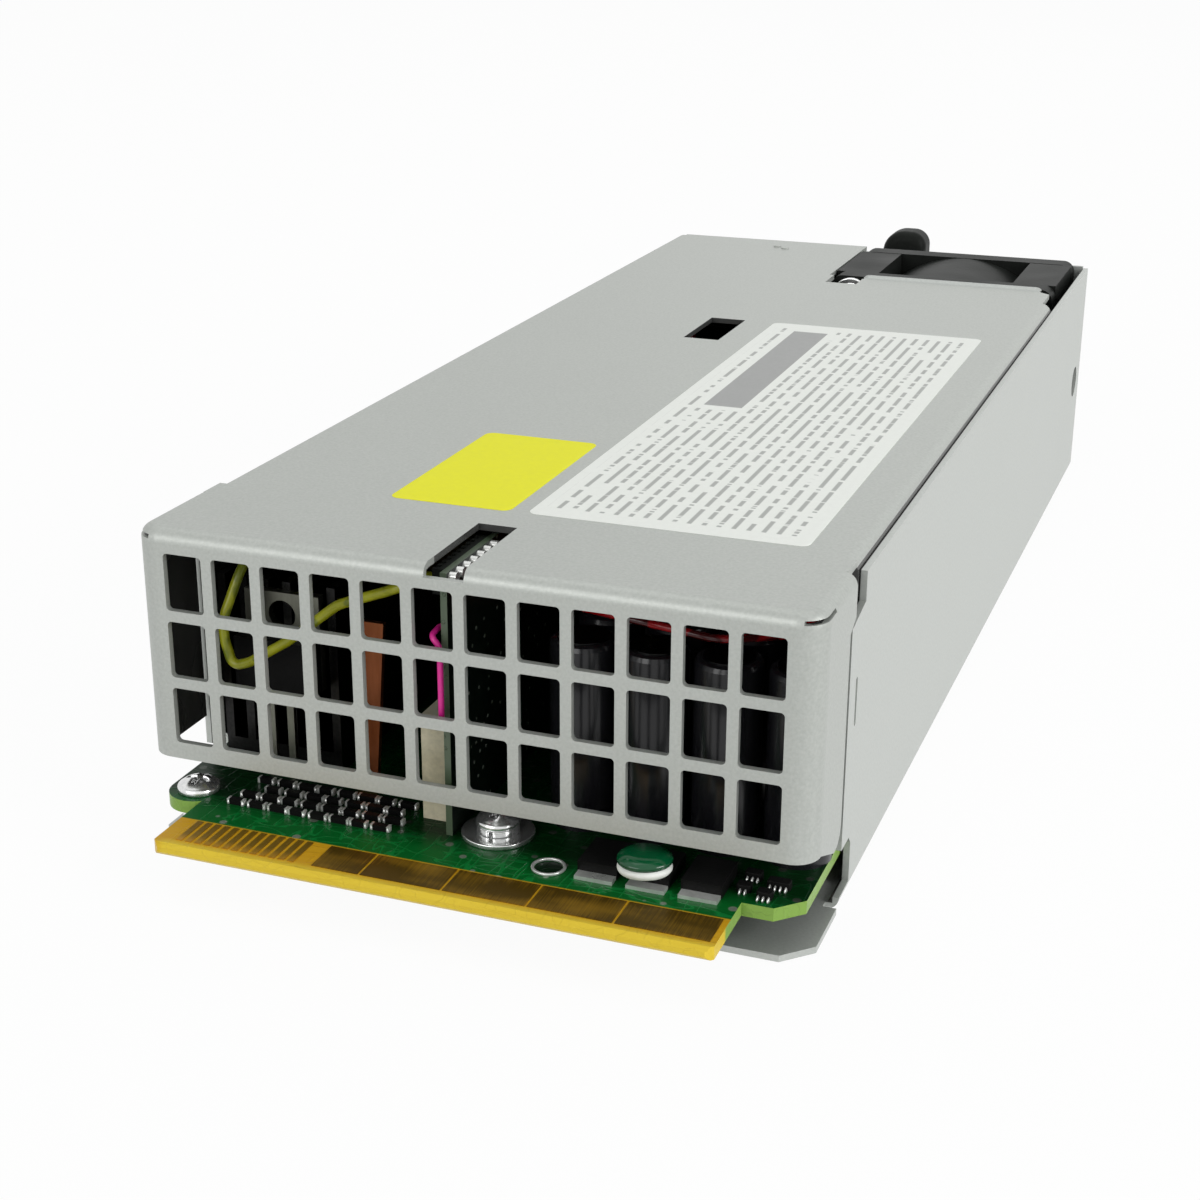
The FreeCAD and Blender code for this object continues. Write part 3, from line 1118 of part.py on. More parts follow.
def make_disc_and_ring():
    """The glazed disc on its dab of adhesive, and a plated eyelet beside the washer."""
    spot = (cell("disc_x"), cell("disc_y"))
    seat = board_top + cell("fet_height")
    dab_top = seat + cell("dab_thick")
    dab = rod("dab", "z", cell("disc_radius") - cell("dab_inset"), seat, dab_top, spot)
    keep(dab, "adhesive_dab")
    body = new_body("glazed_disc")
    place(body, spot[0], spot[1], dab_top)
    section = sketch_on(body, "XZ_Plane")
    radius, thick = cell("disc_radius"), cell("disc_thick")
    outline(section, [(0, 0), (radius - 0.4, 0), (radius, thick * 0.4),
                      (radius - 0.6, thick * 0.85), (0, thick)])
    turned(body, "Revolution", section, "V_Axis")
    spot = (cell("ring_x"), cell("ring_y"))
    top = board_top + cell("ring_height")
    rim = rod("eyelet_rim", "z", cell("ring_outer"), board_top, top, spot)
    hole = rod("eyelet_hole", "z", cell("ring_inner"), board_top - 1, top + 1, spot)
    keep(cut("plated_eyelet", rim, hole), "plated_eyelet")


def make_upright_transistor():
    """The upright power rectifier: moulded body, drilled tab and two legs."""
    x, y = cell("triode_x"), cell("triode_y")
    wide = cell("triode_width") / 2
    top, tab = cell("triode_top"), cell("triode_tab")
    plate = box("tab_plate", (x - wide, x + wide), (y, y + tab), (cell("mould_foot"), top))
    hole = rod("tab_hole", "y", cell("triode_hole"), y - 1, y + tab + 1,
               (x, top - cell("triode_hole_drop")))
    legs = []
    for side in (-0.5, 0.5):
        leg_x = x + cell("leg_pitch") * side
        leg_wide, mid = cell("leg_width") / 2, y - cell("triode_mould") / 2
        legs.append(box("leg", (leg_x - leg_wide, leg_x + leg_wide),
                        (mid, mid + cell("leg_thick")), (board_top, cell("mould_foot"))))
    group("transistor_metal", [cut("drilled_tab", plate, hole)] + legs)
    keep(box("transistor_mould", (x - wide, x + wide), (y - cell("triode_mould"), y),
             (cell("mould_foot"), cell("mould_top"))), "transistor_mould")


def can_profile(body, radius, foot, top, edge, groove):
    """A turned can: a base, a rolled groove and a rounded shoulder, about its own axis."""
    section = sketch_on(body, "XZ_Plane")
    neck = radius - groove
    tall = top - foot
    corners = [(0, 0), (radius, 0), (radius, edge * 2), (neck, edge * 2.6), (neck, edge * 3.2),
               (radius, edge * 3.8), (radius, tall - edge),
               (radius - edge * 0.35, tall - edge * 0.3), (radius - edge, tall), (0, tall)]
    outline(section, corners)
    turned(body, "Revolution", section, "V_Axis")


def make_output_capacitors():
    """The output capacitors: two rows of upright cans behind the grille."""
    body = doc.addObject("PartDesign::Body", "can_pattern")
    can_profile(body, cell("can_radius"), board_top, cell("can_top"), cell("can_round"),
                cell("can_groove"))
    cans, lids = [], []
    last_x = inner - cell("can_wall_gap") - cell("can_radius")
    for row in range(count_of("can_rows")):
        for column in range(count_of("can_count")):
            x = last_x - cell("can_pitch") * (count_of("can_count") - 1 - column)
            y = cell("can_y") + cell("can_row_pitch") * row
            copy = doc.addObject("Part::Feature", "can")
            copy.Shape = body.Shape
            place(copy, x, y, board_top)
            cans.append(copy)
            lids.append(rod("lid", "z", cell("can_radius") - cell("can_round") * 1.3,
                            cell("can_top"), cell("can_top") + 0.15, (x, y)))
    group("output_capacitors", cans)
    group("capacitor_lids", lids)


def comb(body, x, y, base, fins, thin, width, tall):
    """A finned extrusion's end outline: a base plate with upright fins."""
    step = (width - thin) / (fins - 1)
    corners = [(x, y), (x + width, y)]
    for index in reversed(range(fins)):
        left = x + step * index
        corners += [(left + thin, y + tall), (left, y + tall)]
        if index:
            corners += [(left, y + base), (x + step * (index - 1) + thin, y + base)]
    outline(body, corners)


def make_heat_sinks():
    """Two finned aluminium extrusions standing on the board."""
    sinks = [("front_heat_sink", cell("sink_inset") - inner, triode_back(), cell("sink_length")),
             ("middle_heat_sink", inner - cell("back_sink_inset"), cell("back_sink_y"),
              cell("back_sink_length"))]
    for label, x, y, long in sinks:
        body = new_body(label)
        section = sketch_on(body, "XZ_Plane", -y)
        width = cell("sink_width")
        comb(section, x - width / 2, board_top, cell("sink_base"), count_of("fin_count"),
             cell("fin_thick"), width, cell("sink_height"))
        pad(body, section, long, backwards=True)


def triode_back():
    """The face where the upright transistor's tab meets its heat sink."""
    return cell("triode_y") + cell("triode_tab")


def make_transformer():
    """The main transformer: an E core round a wound bobbin, and the copper strap near it."""
    body = new_body("transformer_core")
    x, y = cell("core_x"), cell("core_y")
    wide, long, tall = cell("core_width") / 2, cell("core_length") / 2, cell("core_height")
    leg = cell("core_leg")
    low = board_top + cell("stand")
    frame = sketch_on(body, "XZ_Plane", -y - long * 0.6)
    rectangle(frame, (x - wide, x + wide), (low, low + tall))
    pad(body, frame, long * 1.2)
    window = sketch_on(body, "XZ_Plane", -y - long * 0.6 - 1)
    rectangle(window, (x - wide + leg, x - leg / 2), (low + leg, low + tall - leg))
    rectangle(window, (x + leg / 2, x + wide - leg), (low + leg, low + tall - leg))
    pocket(body, window, long * 1.2 + 2, backwards=True)
    coil = new_body("transformer_winding")
    gap = cell("coil_gap")
    tape = sketch_on(coil, "XY_Plane", low + leg + gap)
    rounded_rectangle(tape, (x - wide + leg + gap, x + wide - leg - gap), (y - long, y + long),
                      cell("coil_round"))
    pad(coil, tape, tall - leg * 2 - gap * 2)
    post = sketch_on(coil, "XY_Plane", low)
    rectangle(post, (x - leg / 2 - gap, x + leg / 2 + gap), (y - long * 0.6 - gap, y + long * 0.6 + gap))
    pocket(coil, post, tall + 2, backwards=True)
    feet = box("bobbin_foot", (x - wide + leg, x + wide - leg), (y - long, y + long),
               (board_top, low))
    keep(feet, "transformer_base")
    strap = new_body("copper_strap")
    sx, sy = cell("strap_x"), cell("strap_y")
    half_wide = cell("strap_width") / 2
    blank = sketch_on(strap, "XZ_Plane", -sy)
    outline(blank, [(sx - half_wide, board_top), (sx + half_wide - cell("strap_taper"), board_top),
                    (sx + half_wide, cell("strap_top")), (sx - half_wide, cell("strap_top"))])
    pad(strap, blank, cell("strap_thick"), backwards=True)


def make_relay():
    """The cream block beside the daughter card, with the flange that joins it to the card."""
    left, right = card_faces()
    edge = left - cell("relay_gap")
    block = (edge - cell("relay_width"), edge)
    span = (cell("relay_front"), cell("relay_front") + cell("relay_length"))
    keep(box("relay_block", block, span, (board_top, cell("relay_top"))), "relay_block")
    flange_low = cell("relay_top")
    keep(box("relay_flange", (block[0] - 0.2, left), (span[0] - 0.6, span[1]),
             (flange_low, flange_low + cell("cap_flange"))), "relay_flange")


def make_choke():
    """The boost choke: a toroid core inside its winding, standing on the board."""
    x, y = cell("choke_inset") - inner, cell("choke_y")
    cover, tall = cell("choke_cover"), cell("choke_height")
    outer, bore = cell("choke_outer"), cell("choke_inner")
    low = board_top + cover
    disc = rod("core_disc", "z", outer - cover, low, low + tall - cover * 2, (x, y))
    eye = rod("core_eye", "z", bore + cover, low - 1, low + tall, (x, y))
    keep(cut("choke_core", disc, eye), "choke_core")
    shell = rod("coil_disc", "z", outer, board_top, board_top + tall, (x, y))
    inner_space = rod("coil_space", "z", outer - cover, low, low + tall - cover * 2, (x, y))
    inner_eye = rod("coil_eye", "z", bore + cover, low - 1, low + tall, (x, y))
    hollow = cut("coil_hollow", inner_space, inner_eye)
    bore_rod = rod("coil_bore", "z", bore, board_top - 1, board_top + tall + 1, (x, y))
    keep(cut("choke_winding", cut("coil_solid", shell, hollow), bore_rod), "choke_winding")


def make_inner_parts():
    """The large parts further in: bulk and film capacitors, fuse and bridge rectifier."""
    bulk = new_body("bulk_capacitor")
    radius = cell("bulk_radius")
    bulk.Placement = FreeCAD.Placement(FreeCAD.Vector(), TURNS["x"])
    place(bulk, cell("bulk_x") - cell("bulk_length") / 2, cell("bulk_y"), board_top + radius)
    can_profile(bulk, radius, 0, cell("bulk_length"), cell("bulk_round"), cell("bulk_groove"))
    film = new_body("film_capacitor")
    x, y = cell("film_x"), cell("film_y")
    foot = sketch_on(film, "XY_Plane", board_top)
    rounded_rectangle(foot, (x - cell("film_width") / 2, x + cell("film_width") / 2),
                      (y - cell("film_length") / 2, y + cell("film_length") / 2),
                      cell("film_round"))
    pad(film, foot, cell("film_height"))
    fx, fy, fr = cell("fuse_inset") - inner, cell("fuse_y"), cell("fuse_radius")
    end, cap = fy + cell("fuse_length"), cell("fuse_cap")
    axis = (fx, board_top + fr)
    keep(rod("fuse_tube", "y", fr - 0.3, fy + cap, end - cap, axis), "fuse_tube")
    group("fuse_caps", [rod("fuse_cap", "y", fr, fy, fy + cap, axis),
                        rod("fuse_cap", "y", fr, end - cap, end, axis)])
    bx, by = inner - cell("bridge_inset"), cell("bridge_y")
    wide, thick = cell("bridge_width") / 2, cell("bridge_thick")
    foot_z = board_top + cell("stand")
    slab = new_body("bridge_rectifier")
    face = sketch_on(slab, "YZ_Plane", bx)
    outline(face, [(by - wide, foot_z), (by + wide, foot_z),
                   (by + wide, foot_z + cell("bridge_height") - 3),
                   (by + wide - 3, foot_z + cell("bridge_height")),
                   (by - wide, foot_z + cell("bridge_height"))])
    pad(slab, face, thick)
    legs = []
    for index in range(4):
        leg_y = by - wide + 2 + (cell("bridge_width") - 5) / 3 * index
        legs.append(box("bridge_leg", (bx + thick / 2 - 0.4, bx + thick / 2 + 0.4),
                        (leg_y, leg_y + 1), (board_top, foot_z)))
    group("bridge_legs", legs)


def make_floor_film():
    """The insulating film on the tray floor, with clear holes round the posts."""
    edge = inner - cell("film_gap") - cell("bend_radius")
    top = steel + cell("film_sheet")
    sheet_of = box("film_blank", (-edge, edge), (cell("wall_front") + cell("wall_step"),
                                                 cell("board_back")), (steel, top))
    holes = [rod("film_hole", "z", cell("post_radius") + cell("film_gap"), steel - 1, top + 1,
                 spot) for spot in screw_places()]
    keep(cut("floor_film", sheet_of, fuse("film_holes", holes)), "floor_film")


# ---- wires -------------------------------------------------------------------------------

def wire_solid(route, radius):
    """A round wire along straight runs joined by tangent arcs."""
    points = [vector(*spot) for spot in route]
    edges = []
    start = points[0]
    for before, corner, after in zip(points, points[1:], points[2:]):
        back, ahead = (before - corner), (after - corner)
        half_turn = (math.pi - back.getAngle(ahead)) / 2
        trim = 0.45 * min(back.Length, ahead.Length)
        trim = min(trim, 6.0 * math.tan(half_turn)) if half_turn > 0.02 else trim
        back.normalize()
        ahead.normalize()
        arc_start, arc_end = corner + back * trim, corner + ahead * trim
        bend_radius = trim / math.tan(half_turn)
        inward = (back + ahead).normalize()
        middle = corner + inward * (bend_radius / math.cos(half_turn) - bend_radius)
        edges.append(Part.LineSegment(start, arc_start).toShape())
        edges.append(Part.Arc(arc_start, middle, arc_end).toShape())
        start = arc_end
    edges.append(Part.LineSegment(start, points[-1]).toShape())
    path = Part.Wire(edges)
    ring = Part.Wire([Part.makeCircle(radius, points[0], points[1] - points[0])])
    return path.makePipeShell([ring], True, False)


def make_wires():
    """The loose wires: earth, sense, fan and mains leads inside the case."""
    left, right = card_faces()
    sink_top = board_top + cell("sink_height")
    x, y = cell("sink_inset") - inner, triode_back()
    pin_side = left - cell("header_thick")
    earth = [(x - 0.65, y + 8, sink_top), (x - 0.65, y + 8, sink_top + 3),
             (x - 0.65, y + 3, sink_top + 6), (x - 1.6, y - 4, sink_top + 4),
             (x - 3.3, y - 7, sink_top - 3), (x - 2.9, y - 7.4, sink_top - 5.5),
             (x - 1.9, y - 7.6, sink_top - 8.4), (x + 0.4, y - 7.6, sink_top - 7.6),
             (x + 5.65, y - 7.6, sink_top - 4.2), (x + 12.45, y - 7.6, sink_top + 1.3),
             (left - 6.5, y - 8.6, sink_top + 4.6), (pin_side - 2.2, y - 7.0, sink_top + 6.0),
             (pin_side, y - 7.0, sink_top + 6.0)]
    front, high = cell("card_front"), card_top
    out, ahead, low = left - 0.9, front - 0.9, high - 18.0
    sense = [(left, front + 1.6, high - 7.0), (out, front + 1.6, high - 7.0),
             (out, ahead + 0.1, high - 7.3), (left + 0.2, ahead, high - 8.4),
             (left + 0.2, ahead, low + 0.7), (out, ahead + 0.1, low - 0.2),
             (out, front + 1.6, low - 0.5), (left, front + 1.6, low - 0.5)]
    reds = []
    level, far = under_cover - cell("red_drop"), inner - cell("red_wall_gap")
    for index in range(count_of("red_count")):
        lift = level + cell("red_lift") * index
        shift = cell("red_shift") * index + 0.6 * math.sin(2.4 * index)
        reds.append([(right, 18 + shift, lift), (right + 2.4, 18 + shift, lift),
                     (right + 9.2, 13 + shift, lift + 1.8), (right + 18.0, 8 + shift, lift + 3.2),
                     (far - 9.5, 9 + shift, lift + 1.6), (far - 2.5, 14 + shift, lift + 1.2),
                     (far - 0.3, 26 + shift, lift + 0.8), (far, 38 + shift * 2, board_top + 17.5),
                     (far, 38 + shift * 2, board_top)])
    plug_top = board_top + cell("plug_height")
    plug = (fan_left + 1, fan_left + 1 + cell("plug_width"))
    back = cell("board_back")
    plug_back = back - cell("plug_setback")
    keep(box("fan_plug", plug, (plug_back - cell("plug_length"), plug_back),
             (board_top, plug_top)), "fan_plug")
    leads = []
    rise, lead_y = plug_top + cell("lead_rise"), plug_back - cell("plug_length") / 2
    for index in range(3):
        lead_x = plug[0] + cell("lead_pitch") * (index + 0.75)
        leads.append([(lead_x, lead_y, plug_top), (lead_x, lead_y, rise - 1.4),
                      (lead_x, lead_y + 5, rise), (lead_x, fan_front, rise)])
    mains = []
    tail = (length + cell("inlet_flange") - cell("socket_depth") - cell("inlet_back")
            - cell("pin_tail"))
    down = back - cell("lead_margin")
    for px, pz in pin_places():
        at_x, at_z = cell("inlet_x") + px, cell("inlet_z") + pz
        mains.append([(at_x, tail, at_z), (at_x, tail - 3, at_z), (at_x, down, at_z - 3.4),
                      (at_x, down, board_top)])
    for label, routes, radius in (("earth_wire", [earth], "earth_radius"),
                                  ("sense_wire", [sense], "sense_radius"),
                                  ("red_wires", reds, "thin_wire_radius"),
                                  ("fan_leads", leads, "thin_wire_radius"),
                                  ("mains_leads", mains, "wire_radius")):
        feature = doc.addObject("Part::Feature", label)
        solids = [wire_solid(route, sheet.get(radius)) for route in routes]
        feature.Shape = Part.makeCompound(solids) if len(solids) > 1 else solids[0]
        keep(feature, label)


# ---- build and write ---------------------------------------------------------------------

for make in (make_base_tray, make_top_cover, make_rear_panel, make_fan_frame, make_fan_rotor,
             make_fan_screws, make_inlet, make_status_lenses, make_handle, make_release_latch,
             make_latch_pin, make_latch_spring, make_main_board, make_edge_contacts,
             make_board_fasteners, make_daughter_card, make_front_packages, make_disc_and_ring,
             make_upright_transistor, make_output_capacitors, make_heat_sinks, make_transformer,
             make_relay, make_choke, make_inner_parts, make_floor_film, make_wires):
    make()
doc.recompute()

for item in doc.Objects:
    if "Invalid" in item.State or "Error" in item.State:
        raise ValueError("%s did not compute" % item.Label)
for piece in pieces:
    if piece.Shape.isNull() or not piece.Shape.isValid():
        raise ValueError("%s has no valid shape" % piece.Label)
os.makedirs("parts", exist_ok=True)
for piece in pieces:
    piece.Shape.exportStep(os.path.join("parts", piece.Label + ".step"))
    print("%-22s %2d solids %10.1f mm3" % (piece.Label, len(piece.Shape.Solids),
                                           piece.Shape.Volume))
print(len(pieces), "sub-parts")
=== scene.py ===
# %% [markdown]
# # A hot swap server power supply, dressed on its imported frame
# The part is a flat steel box that slides into a server. A pierced grille and a board
# edge with gilded contacts face the server, and a fan, a mains inlet, a handle and a
# latch face the aisle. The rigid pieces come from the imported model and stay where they
# are. This script gives each of them its finish, adds the two paper labels and the thin
# things that solids leave out, and sets up a small studio with its camera.

# %% The frame and its size
import math

import bmesh
import bpy
import numpy as np
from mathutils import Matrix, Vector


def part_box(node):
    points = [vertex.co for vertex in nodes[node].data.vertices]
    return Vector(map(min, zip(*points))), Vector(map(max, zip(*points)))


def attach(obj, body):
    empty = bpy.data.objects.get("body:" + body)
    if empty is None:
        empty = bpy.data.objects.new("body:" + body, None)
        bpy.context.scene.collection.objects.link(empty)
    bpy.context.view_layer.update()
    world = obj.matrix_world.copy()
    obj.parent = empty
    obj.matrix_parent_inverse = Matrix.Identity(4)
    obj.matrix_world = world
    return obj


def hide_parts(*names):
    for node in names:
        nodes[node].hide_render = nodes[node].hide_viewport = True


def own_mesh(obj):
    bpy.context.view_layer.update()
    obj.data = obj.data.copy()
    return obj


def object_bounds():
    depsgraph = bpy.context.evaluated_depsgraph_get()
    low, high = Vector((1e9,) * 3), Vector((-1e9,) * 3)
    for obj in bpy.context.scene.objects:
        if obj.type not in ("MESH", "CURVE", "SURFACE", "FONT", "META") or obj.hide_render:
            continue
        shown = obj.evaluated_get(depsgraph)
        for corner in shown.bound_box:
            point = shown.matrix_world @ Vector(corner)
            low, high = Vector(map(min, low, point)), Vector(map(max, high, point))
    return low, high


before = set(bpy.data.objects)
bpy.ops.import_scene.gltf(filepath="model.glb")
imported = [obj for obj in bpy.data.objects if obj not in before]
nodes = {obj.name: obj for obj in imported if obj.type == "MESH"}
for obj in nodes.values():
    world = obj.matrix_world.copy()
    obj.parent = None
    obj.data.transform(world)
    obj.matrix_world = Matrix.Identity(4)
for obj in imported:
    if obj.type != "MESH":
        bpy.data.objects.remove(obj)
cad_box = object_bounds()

print("nodes:", len(nodes), "box:", [round(float(v), 4) for corner in cad_box for v in corner])

# %% [markdown]
# ## Camera
# The eye stands close in front of the part, to the right and above, so the box tapers
# strongly towards its far end. A lens is described by the ratio of its focal length to
# its film, here 60.1 mm to 36 mm. A small shift moves the view without turning the eye.

# %% The camera
FILM_WIDTH = 36.0
FOCAL_LENGTH = 60.09
NEAREST = 0.01
EYE_PLACE = (0.08479, -0.18480, 0.11329)
LOOK_DOWN = 20.68
LOOK_LEFT = 20.91
LENS_SHIFT = (0.0176, 0.0003)

camera = bpy.data.cameras.new("studio_camera")
camera.sensor_width = FILM_WIDTH
camera.lens = FOCAL_LENGTH
camera.shift_x, camera.shift_y = LENS_SHIFT
camera.clip_start = NEAREST
eye = bpy.data.objects.new("studio_camera", camera)
eye.location = EYE_PLACE
eye.rotation_euler = (math.radians(90 - LOOK_DOWN), 0.0, math.radians(LOOK_LEFT))
bpy.context.scene.collection.objects.link(eye)
bpy.context.scene.camera = eye
bpy.context.scene.view_settings.view_transform = "Standard"
print("camera at", [round(v, 4) for v in eye.location])

# %% [markdown]
# ## Studio
# Zinc plate shows whatever stands round it, so the studio is plain: a white world, a
# wide soft lamp in front that lights the grille, a second one on the right for the long
# wall, and weaker ones overhead and behind. The floor and the world are white to the eye,
# in metal and through glass, and the floor keeps the shadow.
#
# Every finish below is a sum of masks and noises, so two small classes stand for the
# shader's nodes. A Value is one number that changes over a surface and can be added and
# multiplied as any number can, and a Paint is one material.

# %% Helpers that wrap shader sockets


class Value:
    """A number that changes over a surface; arithmetic on it adds Math nodes."""

    def __init__(self, paint, socket):
        self.paint, self.socket = paint, socket

    def maths(self, operation, *others):
        """The result of one Math node on this value and the others."""
        node = self.paint.node("ShaderNodeMath", {"operation": operation},
                               dict(enumerate((self,) + others)))
        return Value(self.paint, node.outputs[0])

    def __add__(self, other):
        return self.maths("ADD", other)

    __radd__ = __add__

    def __mul__(self, other):
        return self.maths("MULTIPLY", other)

    __rmul__ = __mul__

    def __sub__(self, other):
        return self.maths("SUBTRACT", other)

    def __rsub__(self, other):
        return (self * -1.0) + other

    def __truediv__(self, other):
        return self.maths("DIVIDE", other)

    def clamped(self):
        """The value kept between 0 and 1."""
        return self.maths("MAXIMUM", 0.0).maths("MINIMUM", 1.0)

    def step(self, edge, width):
        """0 below the edge and 1 above it, rising over the width."""
        return ((self - edge) / width + 0.5).clamped()

    def size(self):
        """The value without its sign."""
        return self.maths("ABSOLUTE")


class Paint:
    """One procedural material with a Principled shader and short ways to add nodes."""

    def __init__(self, name, **constants):
        self.material = bpy.data.materials.new(name)
        self.material.use_nodes = True
        self.tree = self.material.node_tree
        self.shader = self.tree.nodes["Principled BSDF"]
        for socket, number in constants.items():
            self.shader.inputs[socket.replace("_", " ")].default_value = number
        place = self.node("ShaderNodeTexCoord").outputs["Object"]
        parts = self.node("ShaderNodeSeparateXYZ", {}, {0: place})
        self.place = place
        self.x, self.y, self.z = (Value(self, parts.outputs[i]) for i in range(3))

    def node(self, kind, settings=(), sockets=()):
        """Add a node, set its settings first and then feed its sockets."""
        node = self.tree.nodes.new(kind)
        for name, setting in dict(settings).items():
            setattr(node, name, setting)
        for name, feed in dict(sockets).items():
            feed = feed.socket if isinstance(feed, Value) else feed
            if isinstance(feed, bpy.types.NodeSocket):
                self.tree.links.new(feed, node.inputs[name])
            else:
                node.inputs[name].default_value = feed
        return node

    def noise(self, scale, detail=2.0, roughness=0.5, place=None):
        """Soft random values round 0.5; scale is in patches per metre."""
        node = self.node("ShaderNodeTexNoise", {},
                         {"Vector": place or self.place, "Scale": scale, "Detail": detail,
                          "Roughness": roughness})
        return Value(self, node.outputs["Fac"])

    def stretched(self, *scales):
        """Object coordinates scaled by one number per axis."""
        node = self.node("ShaderNodeMapping", {}, {"Vector": self.place, "Scale": scales})
        return node.outputs["Vector"]

    def normal(self, axis):
        """One component of the surface normal in the part's own axes."""
        geometry = self.node("ShaderNodeTexCoord").outputs["Normal"]
        parts = self.node("ShaderNodeSeparateXYZ", {}, {0: geometry})
        return Value(self, parts.outputs["XYZ".index(axis)])

    def mix(self, mask, first, second):
        """The first colour where the mask is 0 and the second where it is 1."""
        first, second = (colour + (1.0,) if isinstance(colour, tuple) else colour
                         for colour in (first, second))
        node = self.node("ShaderNodeMix", {"data_type": "RGBA"}, {0: mask, 6: first, 7: second})
        return node.outputs[2]

    def shade(self, colour, value):
        """A colour multiplied by a grey value."""
        grey = self.node("ShaderNodeCombineXYZ", {}, {0: value, 1: value, 2: value})
        node = self.node("ShaderNodeVectorMath", {"operation": "MULTIPLY"},
                         {0: colour, 1: grey.outputs[0]})
        return node.outputs[0]

    def bump(self, height, depth):
        """A Bump node for a height value of the given depth in metres."""
        node = self.node("ShaderNodeBump", {},
                         {"Height": height, "Distance": depth, "Strength": 1.0})
        return node.outputs["Normal"]

    def put(self, **feeds):
        """Feed shader sockets; Base_Color stands for Base Color."""
        for socket, feed in feeds.items():
            feed = feed.socket if isinstance(feed, Value) else feed
            self.tree.links.new(feed, self.shader.inputs[socket.replace("_", " ")])
        return self.material


print("shader helpers ready")

# %% Grids and objects


def sheet_mesh(name, points):
    """A mesh over a grid of points, given as an array of (across, along, 3)."""
    across, along = points.shape[:2]
    index = np.arange(across * along).reshape(across, along)
    quads = np.stack([index[:-1, :-1], index[1:, :-1], index[1:, 1:], index[:-1, 1:]], -1)
    mesh = bpy.data.meshes.new(name)
    mesh.from_pydata(points.reshape(-1, 3).tolist(), [], quads.reshape(-1, 4).tolist())
    mesh.update()
    return mesh


def add_object(name, mesh, material):
    """Link a mesh as an object at the origin with one material."""
    piece = bpy.data.objects.new(name, mesh)
    bpy.context.scene.collection.objects.link(piece)
    piece.data.materials.append(material)
    return piece


print("mesh helpers ready")

# %% The floor
FLOOR_REACH = 4.0
FLOOR_GAP = 0.0005
WHITE_SHARE = 0.95


def seen_rays(tree):
    """1 for a ray from the eye, off metal or through glass, the largest of the three."""
    path = tree.nodes.new("ShaderNodeLightPath")
    total = path.outputs["Is Camera Ray"]
    for name in ("Is Glossy Ray", "Is Transmission Ray"):
        larger = tree.nodes.new("ShaderNodeMath")
        larger.operation = "MAXIMUM"
        tree.links.new(total, larger.inputs[0])
        tree.links.new(path.outputs[name], larger.inputs[1])
        total = larger.outputs[0]
    return total


span = np.linspace(-FLOOR_REACH, FLOOR_REACH, 9)
across, along = np.meshgrid(span, span, indexing="ij")
floor_z = float(cad_box[0][2]) - FLOOR_GAP
floor_points = np.stack([across, along, np.full_like(across, floor_z)], -1)

floor_paint = Paint("floor_white", Roughness=0.85, Specular_IOR_Level=0.2)
cloud = floor_paint.noise(6.0)
floor_paint.put(Base_Color=floor_paint.mix(cloud, (0.86, 0.86, 0.86), (0.9, 0.9, 0.9)))
seen = Value(floor_paint, seen_rays(floor_paint.tree))
bright = floor_paint.node("ShaderNodeEmission", {}, {"Color": (1, 1, 1, 1), "Strength": 1.0})
both = floor_paint.node("ShaderNodeMixShader", {}, {0: seen * WHITE_SHARE,
                                                    1: floor_paint.shader.outputs[0],
                                                    2: bright.outputs[0]})
floor_paint.tree.links.new(both.outputs[0],
                           floor_paint.tree.nodes["Material Output"].inputs["Surface"])
floor = add_object("studio_floor", sheet_mesh("studio_floor", floor_points),
                   floor_paint.material)
print("floor at", round(floor_z, 4))

# %% The lamps
AIM = (0.0, 0.05, 0.02)
LAMPS = [("front_lamp", (-0.35, -0.95, 0.42), 0.8, 0.5, 3.6),
         ("right_lamp", (0.95, -0.15, 0.40), 0.5, 0.5, 6.0),
         ("top_lamp", (-0.2, 0.35, 1.1), 0.9, 0.9, 1.75),
         ("back_lamp", (0.1, 1.1, 0.45), 0.9, 0.4, 0.4)]


def add_lamp(name, place, width, height, power):
    """A soft rectangular lamp that looks from its place at the middle of the part."""
    light = bpy.data.lights.new(name, "AREA")
    light.shape = "RECTANGLE"
    light.size, light.size_y, light.energy = width, height, power
    lamp = bpy.data.objects.new(name, light)
    away = np.array(place) - np.array(AIM)
    yaw = math.atan2(away[0], -away[1])
    pitch = math.atan2(math.hypot(away[0], away[1]), away[2])
    lamp.location = place
    lamp.rotation_euler = (pitch, 0.0, yaw)
    bpy.context.scene.collection.objects.link(lamp)


for lamp_facts in LAMPS:
    add_lamp(*lamp_facts)
print("lamps:", len(LAMPS))

# %% The world
SKY_COLOUR = (0.96, 1.0, 0.96, 1.0)
SKY_STRENGTH = 0.46

world = bpy.data.worlds.new("studio_world")
bpy.context.scene.world = world
world.use_nodes = True
tree = world.node_tree
sky = tree.nodes["Background"]
plain = tree.nodes.new("ShaderNodeBackground")
plain.inputs["Color"].default_value = (1.0, 1.0, 1.0, 1.0)
plain.inputs["Strength"].default_value = 1.0
sky.inputs["Color"].default_value = SKY_COLOUR
sky.inputs["Strength"].default_value = SKY_STRENGTH
blend = tree.nodes.new("ShaderNodeMixShader")
tree.links.new(seen_rays(tree), blend.inputs[0])
tree.links.new(sky.outputs[0], blend.inputs[1])
tree.links.new(plain.outputs[0], blend.inputs[2])
tree.links.new(blend.outputs[0], tree.nodes["World Output"].inputs["Surface"])
print("world ready, sky strength", SKY_STRENGTH)
